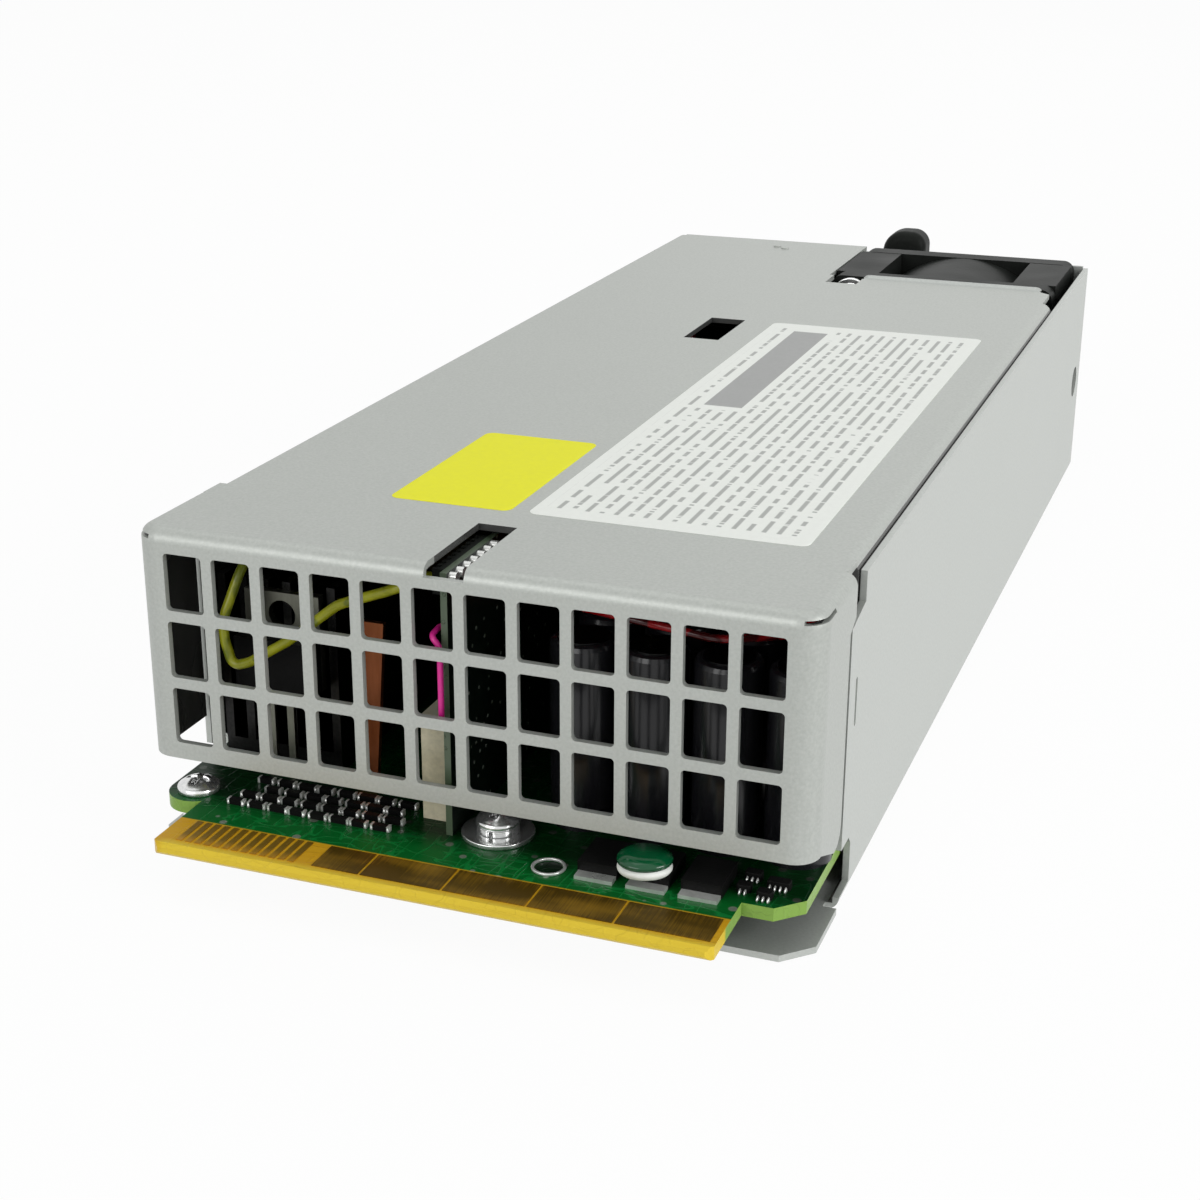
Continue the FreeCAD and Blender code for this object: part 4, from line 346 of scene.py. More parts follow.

# %% [markdown]
# ## Zinc plated sheet steel
# The tray, the cover and the rear panel are folded from plated steel with a satin,
# slightly grainy skin. The grain is a fine noise that changes colour, gloss and relief
# together, and a much larger noise makes the faint clouds that handling leaves. The
# inner faces and the cut edges of the openings get painted shade, a near-black colour,
# so that the openings look as dark as those of a crowded case. Masks on the place and
# the normal say which faces those are.

# %% Sheet steel
# Near-black painted shade for the inner faces and the cut edges of the openings.
PAINTED_SHADE = (0.05, 0.05, 0.049)
SHEET = 0.0008
SKIN = 0.00006
SOFT = 0.00004
FADE = 0.0001
UNDER_TOP = 0.00005
CUT_DEPTH = 0.00015
CORNER_CUT = 0.0023
BUMP_RISE = 0.00025
OFF_WALLS = 0.004
CUT_SPAN = (0.003, 0.150)
half_width = float(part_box("base_tray")[1][0])
cover_top = float(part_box("top_cover")[1][2]) - BUMP_RISE


def painted_shade_inside(paint):
    """1 where painted shade goes inside the case: off the wall faces, behind the grille, under
    the top.
    """
    apart = 1.0 - paint.x.size().step(half_width - SHEET + SKIN, SOFT)
    behind = paint.y.step(SHEET + SKIN, SOFT)
    under = 1.0 - paint.z.step(cover_top - SHEET - UNDER_TOP, SOFT)
    above = paint.z.step(SHEET + SKIN, SOFT)
    corner = 1.0 - (paint.x.size() - paint.y).step(half_width - CORNER_CUT, SOFT)
    return apart * behind * under * above * corner


def shaded_cut_edges(paint):
    """1 on the upright cut edges of the window and the notch in the cover, for painted shade."""
    upright = 1.0 - paint.normal("Z").size().step(0.5, 0.1)
    near_top = paint.z.step(cover_top - SHEET - CUT_DEPTH, SOFT)
    well_in = 1.0 - paint.x.size().step(half_width - OFF_WALLS, FADE)
    along = paint.y.step(CUT_SPAN[0], FADE) * (1.0 - paint.y.step(CUT_SPAN[1], FADE))
    return upright * near_top * well_in * along


GRAIN_SCALE = 2600.0
CLOUD_SCALE = 38.0


def paint_sheet(name, dark, light, gloss, has_painted_shade=True):
    """Satin zinc: fine grain in colour, gloss and relief, faint clouds, painted shade inside."""
    paint = Paint(name)
    grain = paint.noise(GRAIN_SCALE, 2.0, 0.6)
    cloud = paint.noise(CLOUD_SCALE, 3.0, 0.5)
    spread = (grain - 0.5) * 1.5 + (cloud - 0.5) * 0.5 + 0.5
    colour = paint.mix(spread.clamped(), dark, light)
    relief = paint.bump(grain, 0.000012)
    sheen, shine = (cloud - 0.5) * 0.14 + gloss, (cloud - 0.5) * 0.1 + 0.45
    if has_painted_shade:
        # Painted shade: the inside and the cut edges take the near-black colour, lower roughness
        # and no metal.
        shade_mask = painted_shade_inside(paint).maths("MAXIMUM", shaded_cut_edges(paint))
        colour = paint.mix(shade_mask, colour, PAINTED_SHADE)
        sheen, shine = sheen - shade_mask * 0.18, shine * (1.0 - shade_mask)
    return paint.put(Base_Color=colour, Metallic=shine, Roughness=sheen, Normal=relief)


# The cover is darker than the tray, though both are one plated steel: painted shade for the top,
# which takes less light than the walls.
cover_steel = paint_sheet("cover_steel", (0.375, 0.391, 0.369), (0.471, 0.487, 0.463), 0.46)
tray_steel = paint_sheet("tray_steel", (0.43, 0.448, 0.426), (0.516, 0.534, 0.512), 0.42)
rear_steel = paint_sheet("rear_steel", (0.37, 0.387, 0.37), (0.47, 0.487, 0.47), 0.42, False)


def dress(material, *names):
    """Give one material to every slot of the named nodes."""
    for name in names:
        slots = nodes[name].data.materials
        if not len(slots):
            slots.append(material)
        for index in range(len(slots)):
            slots[index] = material


dress(cover_steel, "top_cover")
dress(tray_steel, "base_tray")
dress(rear_steel, "rear_panel")
print("sheet steel ready")

# %% [markdown]
# ## Green circuit boards
# A board is glass laminate under a thin coloured lacquer. Under the lacquer the copper
# tracks stand up a little, so they show as lighter lines. The lacquer stops before the
# card edge, where the bare laminate is yellow, and the sawn edges are yellow too.

# %% Circuit boards
LAMINATE = (0.72, 0.52, 0.045)
GOLDEN = (0.58, 0.30, 0.010)
GREEN_RIM = (0.23, 0.38, 0.08)
TRACK_WIDTH = 0.018
LACQUER_END = -0.0044
GREEN_RIM_START = -0.0064
GOLD_START = -0.0100
GOLD_LEFT = -0.0335
EYELET_SHADE_RADIUS = 0.0016
SHADE_START = 0.0006
SHADE_FADE = 0.0042


def tracks(paint, width):
    """1 on copper tracks: thin bands where a noise that runs along Y crosses its middle."""
    across = paint.noise(1.0, 1.0, 0.4, paint.stretched(520.0, 110.0, 520.0))
    along = paint.noise(1.0, 1.0, 0.4, paint.stretched(140.0, 560.0, 300.0))
    bands = [1.0 - (line - 0.5).size().step(width, 0.012) for line in (across, along)]
    return bands[0].maths("MAXIMUM", bands[1])


def spots(paint, scale, radius):
    """1 inside small round spots scattered by a Voronoi pattern."""
    node = paint.node("ShaderNodeTexVoronoi", {"feature": "F1"},
                      {"Vector": paint.place, "Scale": scale, "Randomness": 0.8})
    return 1.0 - Value(paint, node.outputs["Distance"]).step(radius, radius * 0.3)


main = Paint("main_board_lacquer", Specular_IOR_Level=0.1)
copper = tracks(main, TRACK_WIDTH)
vias = spots(main, 330.0, 0.16)
# Painted shade: the lacquer darkens to near black behind its front few millimetres, where the
# grille shades the board.
painted_shade_behind = main.y.step(SHADE_START, SHADE_FADE)
skin = main.mix(copper, (0.002, 0.105, 0.016), (0.005, 0.17, 0.032))
skin = main.mix(vias, skin, (0.30, 0.36, 0.28))
skin = main.mix(painted_shade_behind * 0.85, skin, (0.001, 0.008, 0.002))
# Painted shade: the hole inside the eyelet is painted near black.
low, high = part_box("plated_eyelet")
aside, along = main.x - (low[0] + high[0]) / 2, main.y - (low[1] + high[1]) / 2
ring_gap = (aside * aside + along * along).maths("SQRT")
eyelet_hole_shade = 1.0 - ring_gap.step(EYELET_SHADE_RADIUS, FADE)
skin = main.mix(eyelet_hole_shade * 0.9, skin, (0.004, 0.004, 0.004))
bare = 1.0 - main.y.step(LACQUER_END, 0.0002)
edge = 1.0 - main.normal("Z").size().step(0.5, 0.1)
fibres = main.noise(1.0, 2.0, 0.5, main.stretched(90.0, 1600.0, 1600.0))
beside = main.y.step(GOLD_START, 0.0012) * (1.0 - edge) + (1.0 - main.x.step(GOLD_LEFT, 0.002))
raw = main.mix((beside.clamped() * 0.9 + (fibres - 0.5) * 0.5).clamped(), LAMINATE, GOLDEN)
raw = main.mix(edge * main.y.step(GREEN_RIM_START, 0.0006), raw, GREEN_RIM)
skin = main.mix(bare.maths("MAXIMUM", edge), skin, raw)
main_board_finish = main.put(Base_Color=skin, Roughness=main.noise(900.0) * 0.2 + 0.22,
                             Metallic=vias * 0.6 * (1.0 - bare),
                             Normal=main.bump(copper, 0.00003))
dress(main_board_finish, "main_board")

# Painted shade and painted glints: the card's face is near black because it stands in shade
# inside the case, and its pale flecks stand for glints off small parts.
card = Paint("daughter_card_lacquer", IOR=1.5)
glint_flecks = spots(card, 560.0, 0.13)
face = card.mix(glint_flecks, (0.002, 0.006, 0.003), (0.22, 0.24, 0.21))
rim = 1.0 - card.normal("X").size().step(0.5, 0.1)
face = card.mix(rim, face, (0.07, 0.10, 0.06))
dress(card.put(Base_Color=face, Roughness=card.noise(800.0) * 0.2 + 0.3,
               Normal=card.bump(glint_flecks, 0.0001)), "daughter_card")
print("boards ready")

# %% [markdown]
# ## Gilded contacts and bare metals
# The contacts are copper with a flash of gold, brushed by every insertion, so fine
# scratches run along them. Screws, posts and pins are bright plated steel, tinned parts
# are softer and whiter, and the heat sinks are extruded aluminium with drawn lines.

# %% Metals
NARROW_END = -0.0150
FINGER_START = -0.0086


def paint_metal(name, dark, light, gloss, stretch, metallic=1.0):
    """Bare metal whose fine lines run along the axis with the smallest stretch."""
    paint = Paint(name, Metallic=metallic)
    lines = paint.noise(1.0, 3.0, 0.6, paint.stretched(*stretch))
    wear = paint.noise(160.0, 3.0, 0.6)
    colour = paint.mix(((lines - 0.5) * 1.2 + wear).clamped(), dark, light)
    return paint.put(Base_Color=colour, Roughness=(wear - 0.5) * 0.2 + gloss,
                     Normal=paint.bump(lines, 0.000008))


gilt = Paint("gilded_copper", Specular_IOR_Level=0.2)
strokes = gilt.noise(1.0, 2.0, 0.6, gilt.stretched(5200.0, 120.0, 300.0))
glow = gilt.noise(1.0, 2.0, 0.5, gilt.stretched(95.0, 240.0, 300.0))
narrow = 1.0 - gilt.x.step(NARROW_END, 0.0004)
wiped = gilt.mix(((glow - 0.45) * 2.6 + (strokes - 0.5) * 1.3).clamped(), (0.115, 0.064, 0.004),
                 (0.45, 0.245, 0.020))
fingers = gilt.mix((1.0 - gilt.y.step(FINGER_START, 0.0014)) * glow * 1.6, (0.26, 0.15, 0.012),
                   (0.62, 0.31, 0.02))
gold = gilt.put(Base_Color=gilt.mix(narrow, wiped, fingers), Metallic=glow * 0.2 + 0.5,
                Roughness=(strokes - 0.5) * 0.2 + 0.34, Normal=gilt.bump(strokes, 0.000012))
steel_bright = paint_metal("bright_steel", (0.62, 0.63, 0.63), (0.88, 0.88, 0.87), 0.2,
                           (1500.0, 1500.0, 1500.0), 0.9)
tin = paint_metal("soft_tin", (0.55, 0.56, 0.54), (0.86, 0.86, 0.84), 0.3,
                  (900.0, 900.0, 900.0), 0.6)
# Near-black aluminium for the heat sinks and the capacitor lids; on the lids, which are bare
# metal, the black is painted shade of the case's inside.
aluminium = paint_metal("near_black_aluminium", (0.012, 0.012, 0.012), (0.035, 0.035, 0.034), 0.3,
                        (2200.0, 60.0, 2200.0))
tab_metal = paint_metal("nickel_tab", (0.13, 0.135, 0.11), (0.24, 0.24, 0.20), 0.36,
                        (900.0, 900.0, 300.0))
bare_copper = paint_metal("bare_copper", (0.13, 0.035, 0.012), (0.30, 0.105, 0.045), 0.4,
                          (700.0, 700.0, 90.0))
dress(gold, "edge_contacts")
dress(steel_bright, "fan_nuts", "board_posts", "latch_pin", "inlet_pins")
dress(tin, "card_joints", "transistor_tabs", "surface_part_ends", "fuse_caps", "bridge_legs")
dress(aluminium, "front_heat_sink", "middle_heat_sink", "capacitor_lids")
dress(tab_metal, "transistor_metal")
dress(bare_copper, "copper_strap", "choke_winding")
print("metals ready")

# %% [markdown]
# ## Moulded plastics
# Black housings come out of a mould with a fine spark texture. A little grey dust
# settles on what faces up. Relief and gloss share one noise, as they do in a real mould.

# %% Plastics


def paint_plastic(name, colour, dusty, gloss, grain=1400.0, depth=0.00002, shine=0.5):
    """Moulded plastic: fine relief, uneven gloss and dust on the faces that look up."""
    paint = Paint(name, IOR=1.46, Specular_IOR_Level=shine)
    texture = paint.noise(grain, 2.0, 0.55)
    cloud = paint.noise(90.0, 2.0, 0.5)
    up = paint.normal("Z").step(0.6, 0.6) * cloud
    skin = paint.mix(up, paint.shade(colour, (texture - 0.5) * 0.5 + 1.0), dusty)
    return paint.put(Base_Color=skin, Roughness=(cloud - 0.5) * 0.2 + gloss,
                     Normal=paint.bump(texture, depth))


black = paint_plastic("black_moulding", (0.012, 0.013, 0.012), (0.018, 0.020, 0.018), 0.42,
                      shine=0.05)
resin = paint_plastic("black_resin", (0.006, 0.006, 0.006), (0.010, 0.010, 0.010), 0.4, 2600.0,
                      shine=0.08)
maroon = paint_plastic("maroon_moulding", (0.26, 0.018, 0.03), (0.3, 0.06, 0.06), 0.4)
cream = paint_plastic("cream_moulding", (0.66, 0.60, 0.44), (0.7, 0.66, 0.55), 0.5)
ferrite = paint_plastic("dark_ferrite", (0.035, 0.036, 0.038), (0.07, 0.07, 0.07), 0.6, 3000.0)
guide = paint_plastic("light_guide", (0.34, 0.42, 0.34), (0.4, 0.46, 0.4), 0.15, 300.0, 0.000002)
tape = paint_plastic("polyester_tape", (0.60, 0.44, 0.04), (0.62, 0.5, 0.1), 0.25, 500.0)
film = paint_plastic("insulating_film", (0.60, 0.56, 0.42), (0.6, 0.58, 0.48), 0.3, 300.0)
sleeve = paint_plastic("shrink_sleeve", (0.008, 0.008, 0.010), (0.01, 0.01, 0.012), 0.22, 420.0)
glaze = paint_plastic("green_glaze", (0.001, 0.062, 0.020), (0.002, 0.09, 0.03), 0.12, 260.0,
                      0.00001)
glue = paint_plastic("white_adhesive", (0.80, 0.81, 0.78), (0.86, 0.87, 0.85), 0.45, 350.0,
                     0.0002)
dress(black, "fan_frame", "fan_rotor", "inlet_body", "handle", "fan_plug", "card_header")
dress(resin, "output_transistors", "transistor_mould", "surface_parts", "bridge_rectifier")
dress(maroon, "release_latch")
dress(cream, "relay_block", "relay_flange")
dress(ferrite, "transformer_core", "choke_core", "transformer_base")
dress(guide, "status_lenses")
dress(tape, "transformer_winding", "film_capacitor")
dress(film, "floor_film")
dress(sleeve, "output_capacitors", "bulk_capacitor")
print("plastics ready")

# %% [markdown]
# ## Wires and glass
# A sleeve has one colour, or two that wind round each other. A low noise, cut off at a
# chosen share, says where the second colour shows. The fuse's tube is clear glass with a
# faint haze.

# %% Wire sleeves


def paint_wire(name, first, second, share, gloss=0.32):
    """Sleeved wire: a second colour winds round the first where a noise is high."""
    paint = Paint(name, IOR=1.48)
    wander = paint.noise(260.0, 1.0, 0.4)
    fine = paint.noise(2400.0, 2.0, 0.5)
    stripe = wander.step(1.0 - share, 0.04)
    skin = paint.shade(paint.mix(stripe, first, second), (fine - 0.5) * 0.3 + 1.0)
    return paint.put(Base_Color=skin, Roughness=(fine - 0.5) * 0.2 + gloss,
                     Normal=paint.bump(fine, 0.00001))


dress(paint_wire("earth_sleeve", (0.36, 0.37, 0.012), (0.17, 0.20, 0.01), 0.45), "earth_wire")
dress(paint_wire("magenta_sleeve", (0.75, 0.02, 0.30), (0.62, 0.02, 0.24), 0.4), "sense_wire")
# The red sleeve's near-black second colour is painted shade: it darkens the red wires and the fan
# leads in patches.
dress(paint_wire("red_sleeve", (0.30, 0.002, 0.005), (0.05, 0.001, 0.002), 0.5, 0.2), "red_wires",
      "fan_leads")
dress(paint_wire("dark_sleeve", (0.02, 0.02, 0.022), (0.03, 0.03, 0.03), 0.4), "mains_leads")

glass = Paint("fuse_glass", Transmission_Weight=1.0, IOR=1.5)
haze = glass.noise(300.0)
dress(glass.put(Base_Color=glass.mix(haze, (0.9, 0.93, 0.9), (0.97, 0.98, 0.97)),
                Roughness=haze * 0.1), "fuse_tube")
print("wires and glass ready")

# %% [markdown]
# ## Turned pieces
# Screws, washers, the eyelet and the coated disc are round, and light slides along their
# rims, so each is turned afresh with soft corners and stands for its coarser solid. A
# turned shape is a profile of radius and height carried round a vertical line. Cutting
# the cross of a screw would need a boolean, but here the head's grid is simply pressed
# down where the cross lies.

# %% Turning a profile


def close_mesh(mesh, is_sheet=False):
    """Merge the grid's seam and pole and point the faces outward, or a sheet's faces up."""
    work = bmesh.new()
    work.from_mesh(mesh)
    bmesh.ops.remove_doubles(work, verts=work.verts, dist=1e-6)
    bmesh.ops.recalc_face_normals(work, faces=work.faces)
    if is_sheet and sum(face.normal.z * face.calc_area() for face in work.faces) < 0:
        bmesh.ops.reverse_faces(work, faces=work.faces)
    work.to_mesh(mesh)
    work.free()
    mesh.update()
    return mesh


def soft_profile(corners, steps=6):
    """Join (radius, height, bend) corners; each bend is a quadratic curve of that reach."""
    spots = np.array([corner[:2] for corner in corners], dtype=float)
    share = np.linspace(0.0, 1.0, steps)[:, None]
    pieces = [spots[:1]]
    for index in range(1, len(corners) - 1):
        here, reach = spots[index], corners[index][2]
        sides = [spots[index - 1] - here, spots[index + 1] - here]
        start, end = (here + side / np.linalg.norm(side) * reach for side in sides)
        pieces.append((1 - share) ** 2 * start + 2 * share * (1 - share) * here
                      + share ** 2 * end)
    return np.concatenate(pieces + [spots[-1:]])


def turned_points(profile, centre, turns=72, sway=0.0):
    """Radius and height go round the line through the centre; sway makes the rim uneven."""
    angle = np.linspace(0.0, 2 * np.pi, turns + 1)
    wave = 1.0 + sway * (np.sin(2 * angle + 0.6) + 0.6 * np.sin(3 * angle + 2.0))
    radius = profile[:, :1] * wave[None]
    height = np.repeat(profile[:, 1:], turns + 1, axis=1)
    points = np.stack([centre[0] + radius * np.cos(angle), centre[1] + radius * np.sin(angle),
                       height], -1)
    points[:, -1] = points[:, 0]
    return points


def join_meshes(name, meshes, material):
    """One object from several closed meshes, which rides on the casing."""
    points, faces, start = [], [], 0
    for mesh in meshes:
        flat = np.zeros(len(mesh.vertices) * 3)
        mesh.vertices.foreach_get("co", flat)
        points.append(flat.reshape(-1, 3))
        faces += [[start + i for i in face.vertices] for face in mesh.polygons]
        start += len(mesh.vertices)
        bpy.data.meshes.remove(mesh)
    whole = bpy.data.meshes.new(name)
    whole.from_pydata(np.concatenate(points).tolist(), [], faces)
    whole.shade_smooth()
    piece = add_object(name, whole, material)
    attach(piece, "casing")
    print(name, "faces:", len(whole.polygons))
    return piece


def turned_mesh(profile, centre, turns=72, sway=0.0):
    """A closed mesh turned from a profile that starts and ends on the axis or on itself."""
    return close_mesh(sheet_mesh("turned", turned_points(profile, centre, turns, sway)))


def end_cap(points, row, repeated=0):
    """A row of points in the middle of an end row; the row's repeated points don't count."""
    count = points.shape[1]
    middle = points[row][None, :count - repeated].mean(1, keepdims=True)
    return np.repeat(middle, count, axis=1)


def box_middle(low, high):
    """The middle of a box, seen from above."""
    return (low[0] + high[0]) / 2, (low[1] + high[1]) / 2


print("turning helpers ready")

# %% Domed screws with a cross
HEAD_RADIUS = 0.0026
HEAD_HEIGHT = 0.0017
SHANK_RADIUS = 0.0015
CROSS_REACH = 0.0016
CROSS_DEPTH = 0.0009
CROSS_HALF = 0.00042
CROSS_SOFT = 0.00012


def screw_mesh(centre, tip, seat):
    """A pan head screw: shank, soft rim and a ball cap pressed down along a cross."""
    rise = HEAD_HEIGHT * 0.65
    ball = (HEAD_RADIUS ** 2 + rise ** 2) / (2 * rise)
    rim = seat + HEAD_HEIGHT - rise
    corners = [(0, tip, 0), (SHANK_RADIUS, tip, 0.0001), (SHANK_RADIUS, seat, 0.0001),
               (HEAD_RADIUS, seat, 0.0002), (HEAD_RADIUS, rim, 0.00025),
               (HEAD_RADIUS * 0.94, rim + 0.0002, 0.0001)]
    cap_radius = np.linspace(HEAD_RADIUS * 0.9, 0.0, 26)
    cap_height = seat + HEAD_HEIGHT - ball + np.sqrt(ball ** 2 - cap_radius ** 2)
    profile = np.concatenate([soft_profile(corners)[:-1],
                              np.stack([cap_radius, cap_height], -1)])
    points = turned_points(profile, centre, 96)
    side = points[:, :, :2] - np.array(centre)
    radius = np.hypot(side[..., 0], side[..., 1])
    thin = np.minimum(abs(side[..., 0]), abs(side[..., 1]))
    slot = np.clip((CROSS_HALF - thin) / CROSS_SOFT, 0.0, 1.0)
    slope = np.clip((CROSS_REACH - radius) / CROSS_REACH * 1.6, 0.0, 1.0)
    points[..., 2] -= np.where(points[..., 2] > rim, slot * slope * CROSS_DEPTH, 0.0)
    return close_mesh(sheet_mesh("screw", points))


low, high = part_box("board_screws")
wash_low, wash_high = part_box("screw_washer")
board_face = float(wash_low[2])
middle_spot = box_middle(wash_low, wash_high)
edge_x, front_y, rear_y = high[0] - HEAD_RADIUS, low[1] + HEAD_RADIUS, high[1] - HEAD_RADIUS
places = [((-edge_x, front_y), board_face), (middle_spot, float(wash_high[2])),
          ((-edge_x, rear_y), board_face), ((edge_x, rear_y), board_face)]
screws = join_meshes("turned_screws", [screw_mesh(spot, low[2], seat) for spot, seat in places],
                     steel_bright)
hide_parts("board_screws")

# %% Fan screws with a flange
FAN_HEAD = 0.0024
FAN_HEAD_TALL = 0.0016
FLANGE_RADIUS = 0.0035
FLANGE_THICK = 0.0006
FOOT_AND_NUT = 0.0044
BITE = 0.012


def flange_screw(spot, seat, outward, shank_length):
    """A flanged pan head on a line along Y; heights grow outward from the seat."""
    corners = [(0, -shank_length, 0), (SHANK_RADIUS, -shank_length, 0.0001),
               (SHANK_RADIUS, 0, 0.0001), (FLANGE_RADIUS, 0, 0.00015),
               (FLANGE_RADIUS, FLANGE_THICK, 0.00025), (FAN_HEAD, FLANGE_THICK, 0.0002),
               (FAN_HEAD, FAN_HEAD_TALL, 0.0006), (FAN_HEAD * 0.42, FAN_HEAD_TALL, 0.0001),
               (FAN_HEAD * 0.40, FAN_HEAD_TALL * 0.4, 0.0001), (0, FAN_HEAD_TALL * 0.4, 0)]
    upright = turned_points(soft_profile(corners), (0.0, 0.0), 64)
    points = np.stack([spot[0] + upright[..., 0], seat + outward * upright[..., 2],
                       spot[1] + upright[..., 1]], -1)
    return close_mesh(sheet_mesh("flange_screw", points))


low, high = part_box("fan_screws")
front_seat, rear_seat = low[1] + FAN_HEAD_TALL, high[1] - FOOT_AND_NUT
meshes = []
for z in (low[2] + FAN_HEAD, high[2] - FAN_HEAD):
    meshes.append(flange_screw((low[0] + FAN_HEAD, z), front_seat, -1, high[1] - front_seat))
    meshes.append(flange_screw((high[0] - FAN_HEAD, z), rear_seat, 1, BITE))
fan_screws = join_meshes("flange_screws", meshes, steel_bright)
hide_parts("fan_screws")

# %% [markdown]
# ## The latch spring
# A round wire follows a helix along X. Each ring of the wire lies square to the helix: one
# of its directions points away from the spring's line, and the other is the cross product
# of that one and the helix's own direction. The latch pushes its free end towards the
# inlet, so in the part it shortens as the latch is pressed; here it is drawn at one length.

# %% The latch spring
SPRING_WIRE = 0.00045
COILS = 4
COIL_STEPS = 48
WIRE_STEPS = 14
low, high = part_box("latch_spring")
coil_radius = float(high[2] - low[2]) / 2 - SPRING_WIRE
turn = np.linspace(0.0, 2 * np.pi * COILS, COIL_STEPS * COILS + 1)[:, None]
around = np.linspace(0.0, 2 * np.pi, WIRE_STEPS + 1)[None]
advance = float(high[0] - low[0] - 2 * SPRING_WIRE) / turn[-1, 0]
lean = math.hypot(advance, coil_radius)
reach = coil_radius + SPRING_WIRE * np.cos(around)
side = SPRING_WIRE * np.sin(around) / lean
points = np.stack([low[0] + SPRING_WIRE + advance * turn + side * coil_radius,
                   (low[1] + high[1]) / 2 + reach * np.cos(turn) + side * advance * np.sin(turn),
                   (low[2] + high[2]) / 2 + reach * np.sin(turn) - side * advance * np.cos(turn)],
                  -1)
points[:, -1] = points[:, 0]
# The coil is capped at the latch only: its end at the inlet is open.
points = np.concatenate([end_cap(points, 0, 1), points])
coil = join_meshes("coil_spring", [close_mesh(sheet_mesh("coil", points))],
                   steel_bright)
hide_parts("latch_spring")
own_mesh(coil)

# %% [markdown]
# ## Washers, the eyelet and the coated disc
# A flat washer lies under a split spring washer, both turned from a rectangle with soft
# corners. The split one stops just short of a full turn. The disc bulges like a drop, and
# its rim sways a little, because it sits in adhesive.

# %% Washers and the eyelet
SPLIT_RADIUS = 0.0025
SPLIT_THICK = 0.0008
SPLIT_GAP = 0.0005
BORE = 0.0016
WASHER_BEND = 0.00016
EYELET_WALL = 0.00035
split_z = float(wash_high[2]) - SPLIT_THICK


def ring_profile(inside, outside, bottom, top, bend):
    """A closed rectangular section with soft corners that starts and ends mid bottom."""
    middle_radius = (inside + outside) / 2
    return soft_profile([(middle_radius, bottom, 0), (outside, bottom, bend),
                         (outside, top, bend), (inside, top, bend), (inside, bottom, bend),
                         (middle_radius, bottom, 0)])


def split_ring(centre, section, gap):
    """A ring that stops short of a full turn and closes on its section's middle."""
    half_gap = gap / section[:, 0].max() / 2
    angle = np.linspace(half_gap, 2 * np.pi - half_gap, 60) - np.pi / 2
    body = np.stack([centre[0] + section[:, :1] * np.cos(angle),
                     centre[1] + section[:, :1] * np.sin(angle),
                     np.repeat(section[:, 1:], len(angle), axis=1)], -1)
    body = body.swapaxes(0, 1)
    points = np.concatenate([end_cap(body, 0), body, end_cap(body, -1)])
    return close_mesh(sheet_mesh("split_ring", points))


washer_radius = float(wash_high[0] - wash_low[0]) / 2
flat = turned_mesh(ring_profile(BORE, washer_radius, board_face, split_z, WASHER_BEND),
                   middle_spot)
split = split_ring(middle_spot, ring_profile(BORE, SPLIT_RADIUS, split_z, float(wash_high[2]),
                                             WASHER_BEND), SPLIT_GAP)
washers = join_meshes("turned_washers", [flat, split], steel_bright)
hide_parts("screw_washer")

low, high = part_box("plated_eyelet")
outside = float(high[0] - low[0]) / 2
shape = ring_profile(outside - EYELET_WALL, outside, low[2], high[2], 0.00014)
eyelet = join_meshes("turned_eyelet", [turned_mesh(shape, box_middle(low, high))], tin)
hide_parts("plated_eyelet")

# %% The coated disc on its adhesive
low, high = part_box("glazed_disc")
spot = box_middle(low, high)
radius, tall = float(high[0] - low[0]) / 2, float(high[2] - low[2])
shape = soft_profile([(0, low[2], 0), (radius * 0.93, low[2], 0.0003),
                      (radius * 0.97, low[2] + tall * 0.45, 0.0003),
                      (radius * 0.72, low[2] + tall * 0.9, 0.0006), (0, high[2], 0)], 9)
disc = join_meshes("coated_disc", [turned_mesh(shape, spot, 96, 0.02)], glaze)
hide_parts("glazed_disc")

low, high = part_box("adhesive_dab")
tall = float(high[2] - low[2])
shape = soft_profile([(0, low[2], 0), (radius * 0.86, low[2], 0.0003),
                      (radius * 0.96, low[2] + tall * 0.55, 0.0003),
                      (radius * 0.84, high[2], 0.0002), (0, high[2], 0)], 7)
dab = join_meshes("adhesive_blob", [turned_mesh(shape, spot, 96, 0.03)], glue)
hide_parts("adhesive_dab")

# %% [markdown]
# ## The rolled lip in front of the fan
# Where the cover stops in front of the fan its edge is rolled into a low bead, which
# stiffens it and catches the light. The bead is a section carried along X, and its height
# rises from nothing in a quarter circle at each end.

# %% The lip
LIP_RISE = 0.0005
LIP_ROUND = 0.0012
LIP_START = 0.0061
LIP_CORNER = 0.0018
FAN_GAP = 0.0003
low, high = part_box("fan_frame")
cover_rim = float(low[1]) - FAN_GAP
section = soft_profile([(-0.5, -0.1, 0), (-2.0, -0.1, 0.02), (-1.1, 0.1, 0.5),
                        (-0.45, 1.0, 0.35), (0.1, 0.92, 0.3), (0.14, -0.1, 0.05),
                        (-0.5, -0.1, 0)], 8)
x = np.linspace(float(low[0]) + LIP_START, float(high[0]) - LIP_CORNER, 90)
from_end = np.clip(np.minimum(x - x[0], x[-1] - x) / LIP_ROUND, 0.0, 1.0)
rise = np.sqrt(1.0 - (1.0 - from_end) ** 2)
points = np.stack([np.repeat(x[:, None], len(section), axis=1),
                   cover_rim + section[None, :, 0] * 0.001 * (0.3 + 0.7 * rise[:, None]),
                   cover_top + section[None, :, 1] * LIP_RISE * rise[:, None]], -1)
# Only the first end is capped: at the other the section runs out to an open flat line.
points = np.concatenate([end_cap(points, 0), points])
join_meshes("rolled_lip", [close_mesh(sheet_mesh("lip", points))], rear_steel)

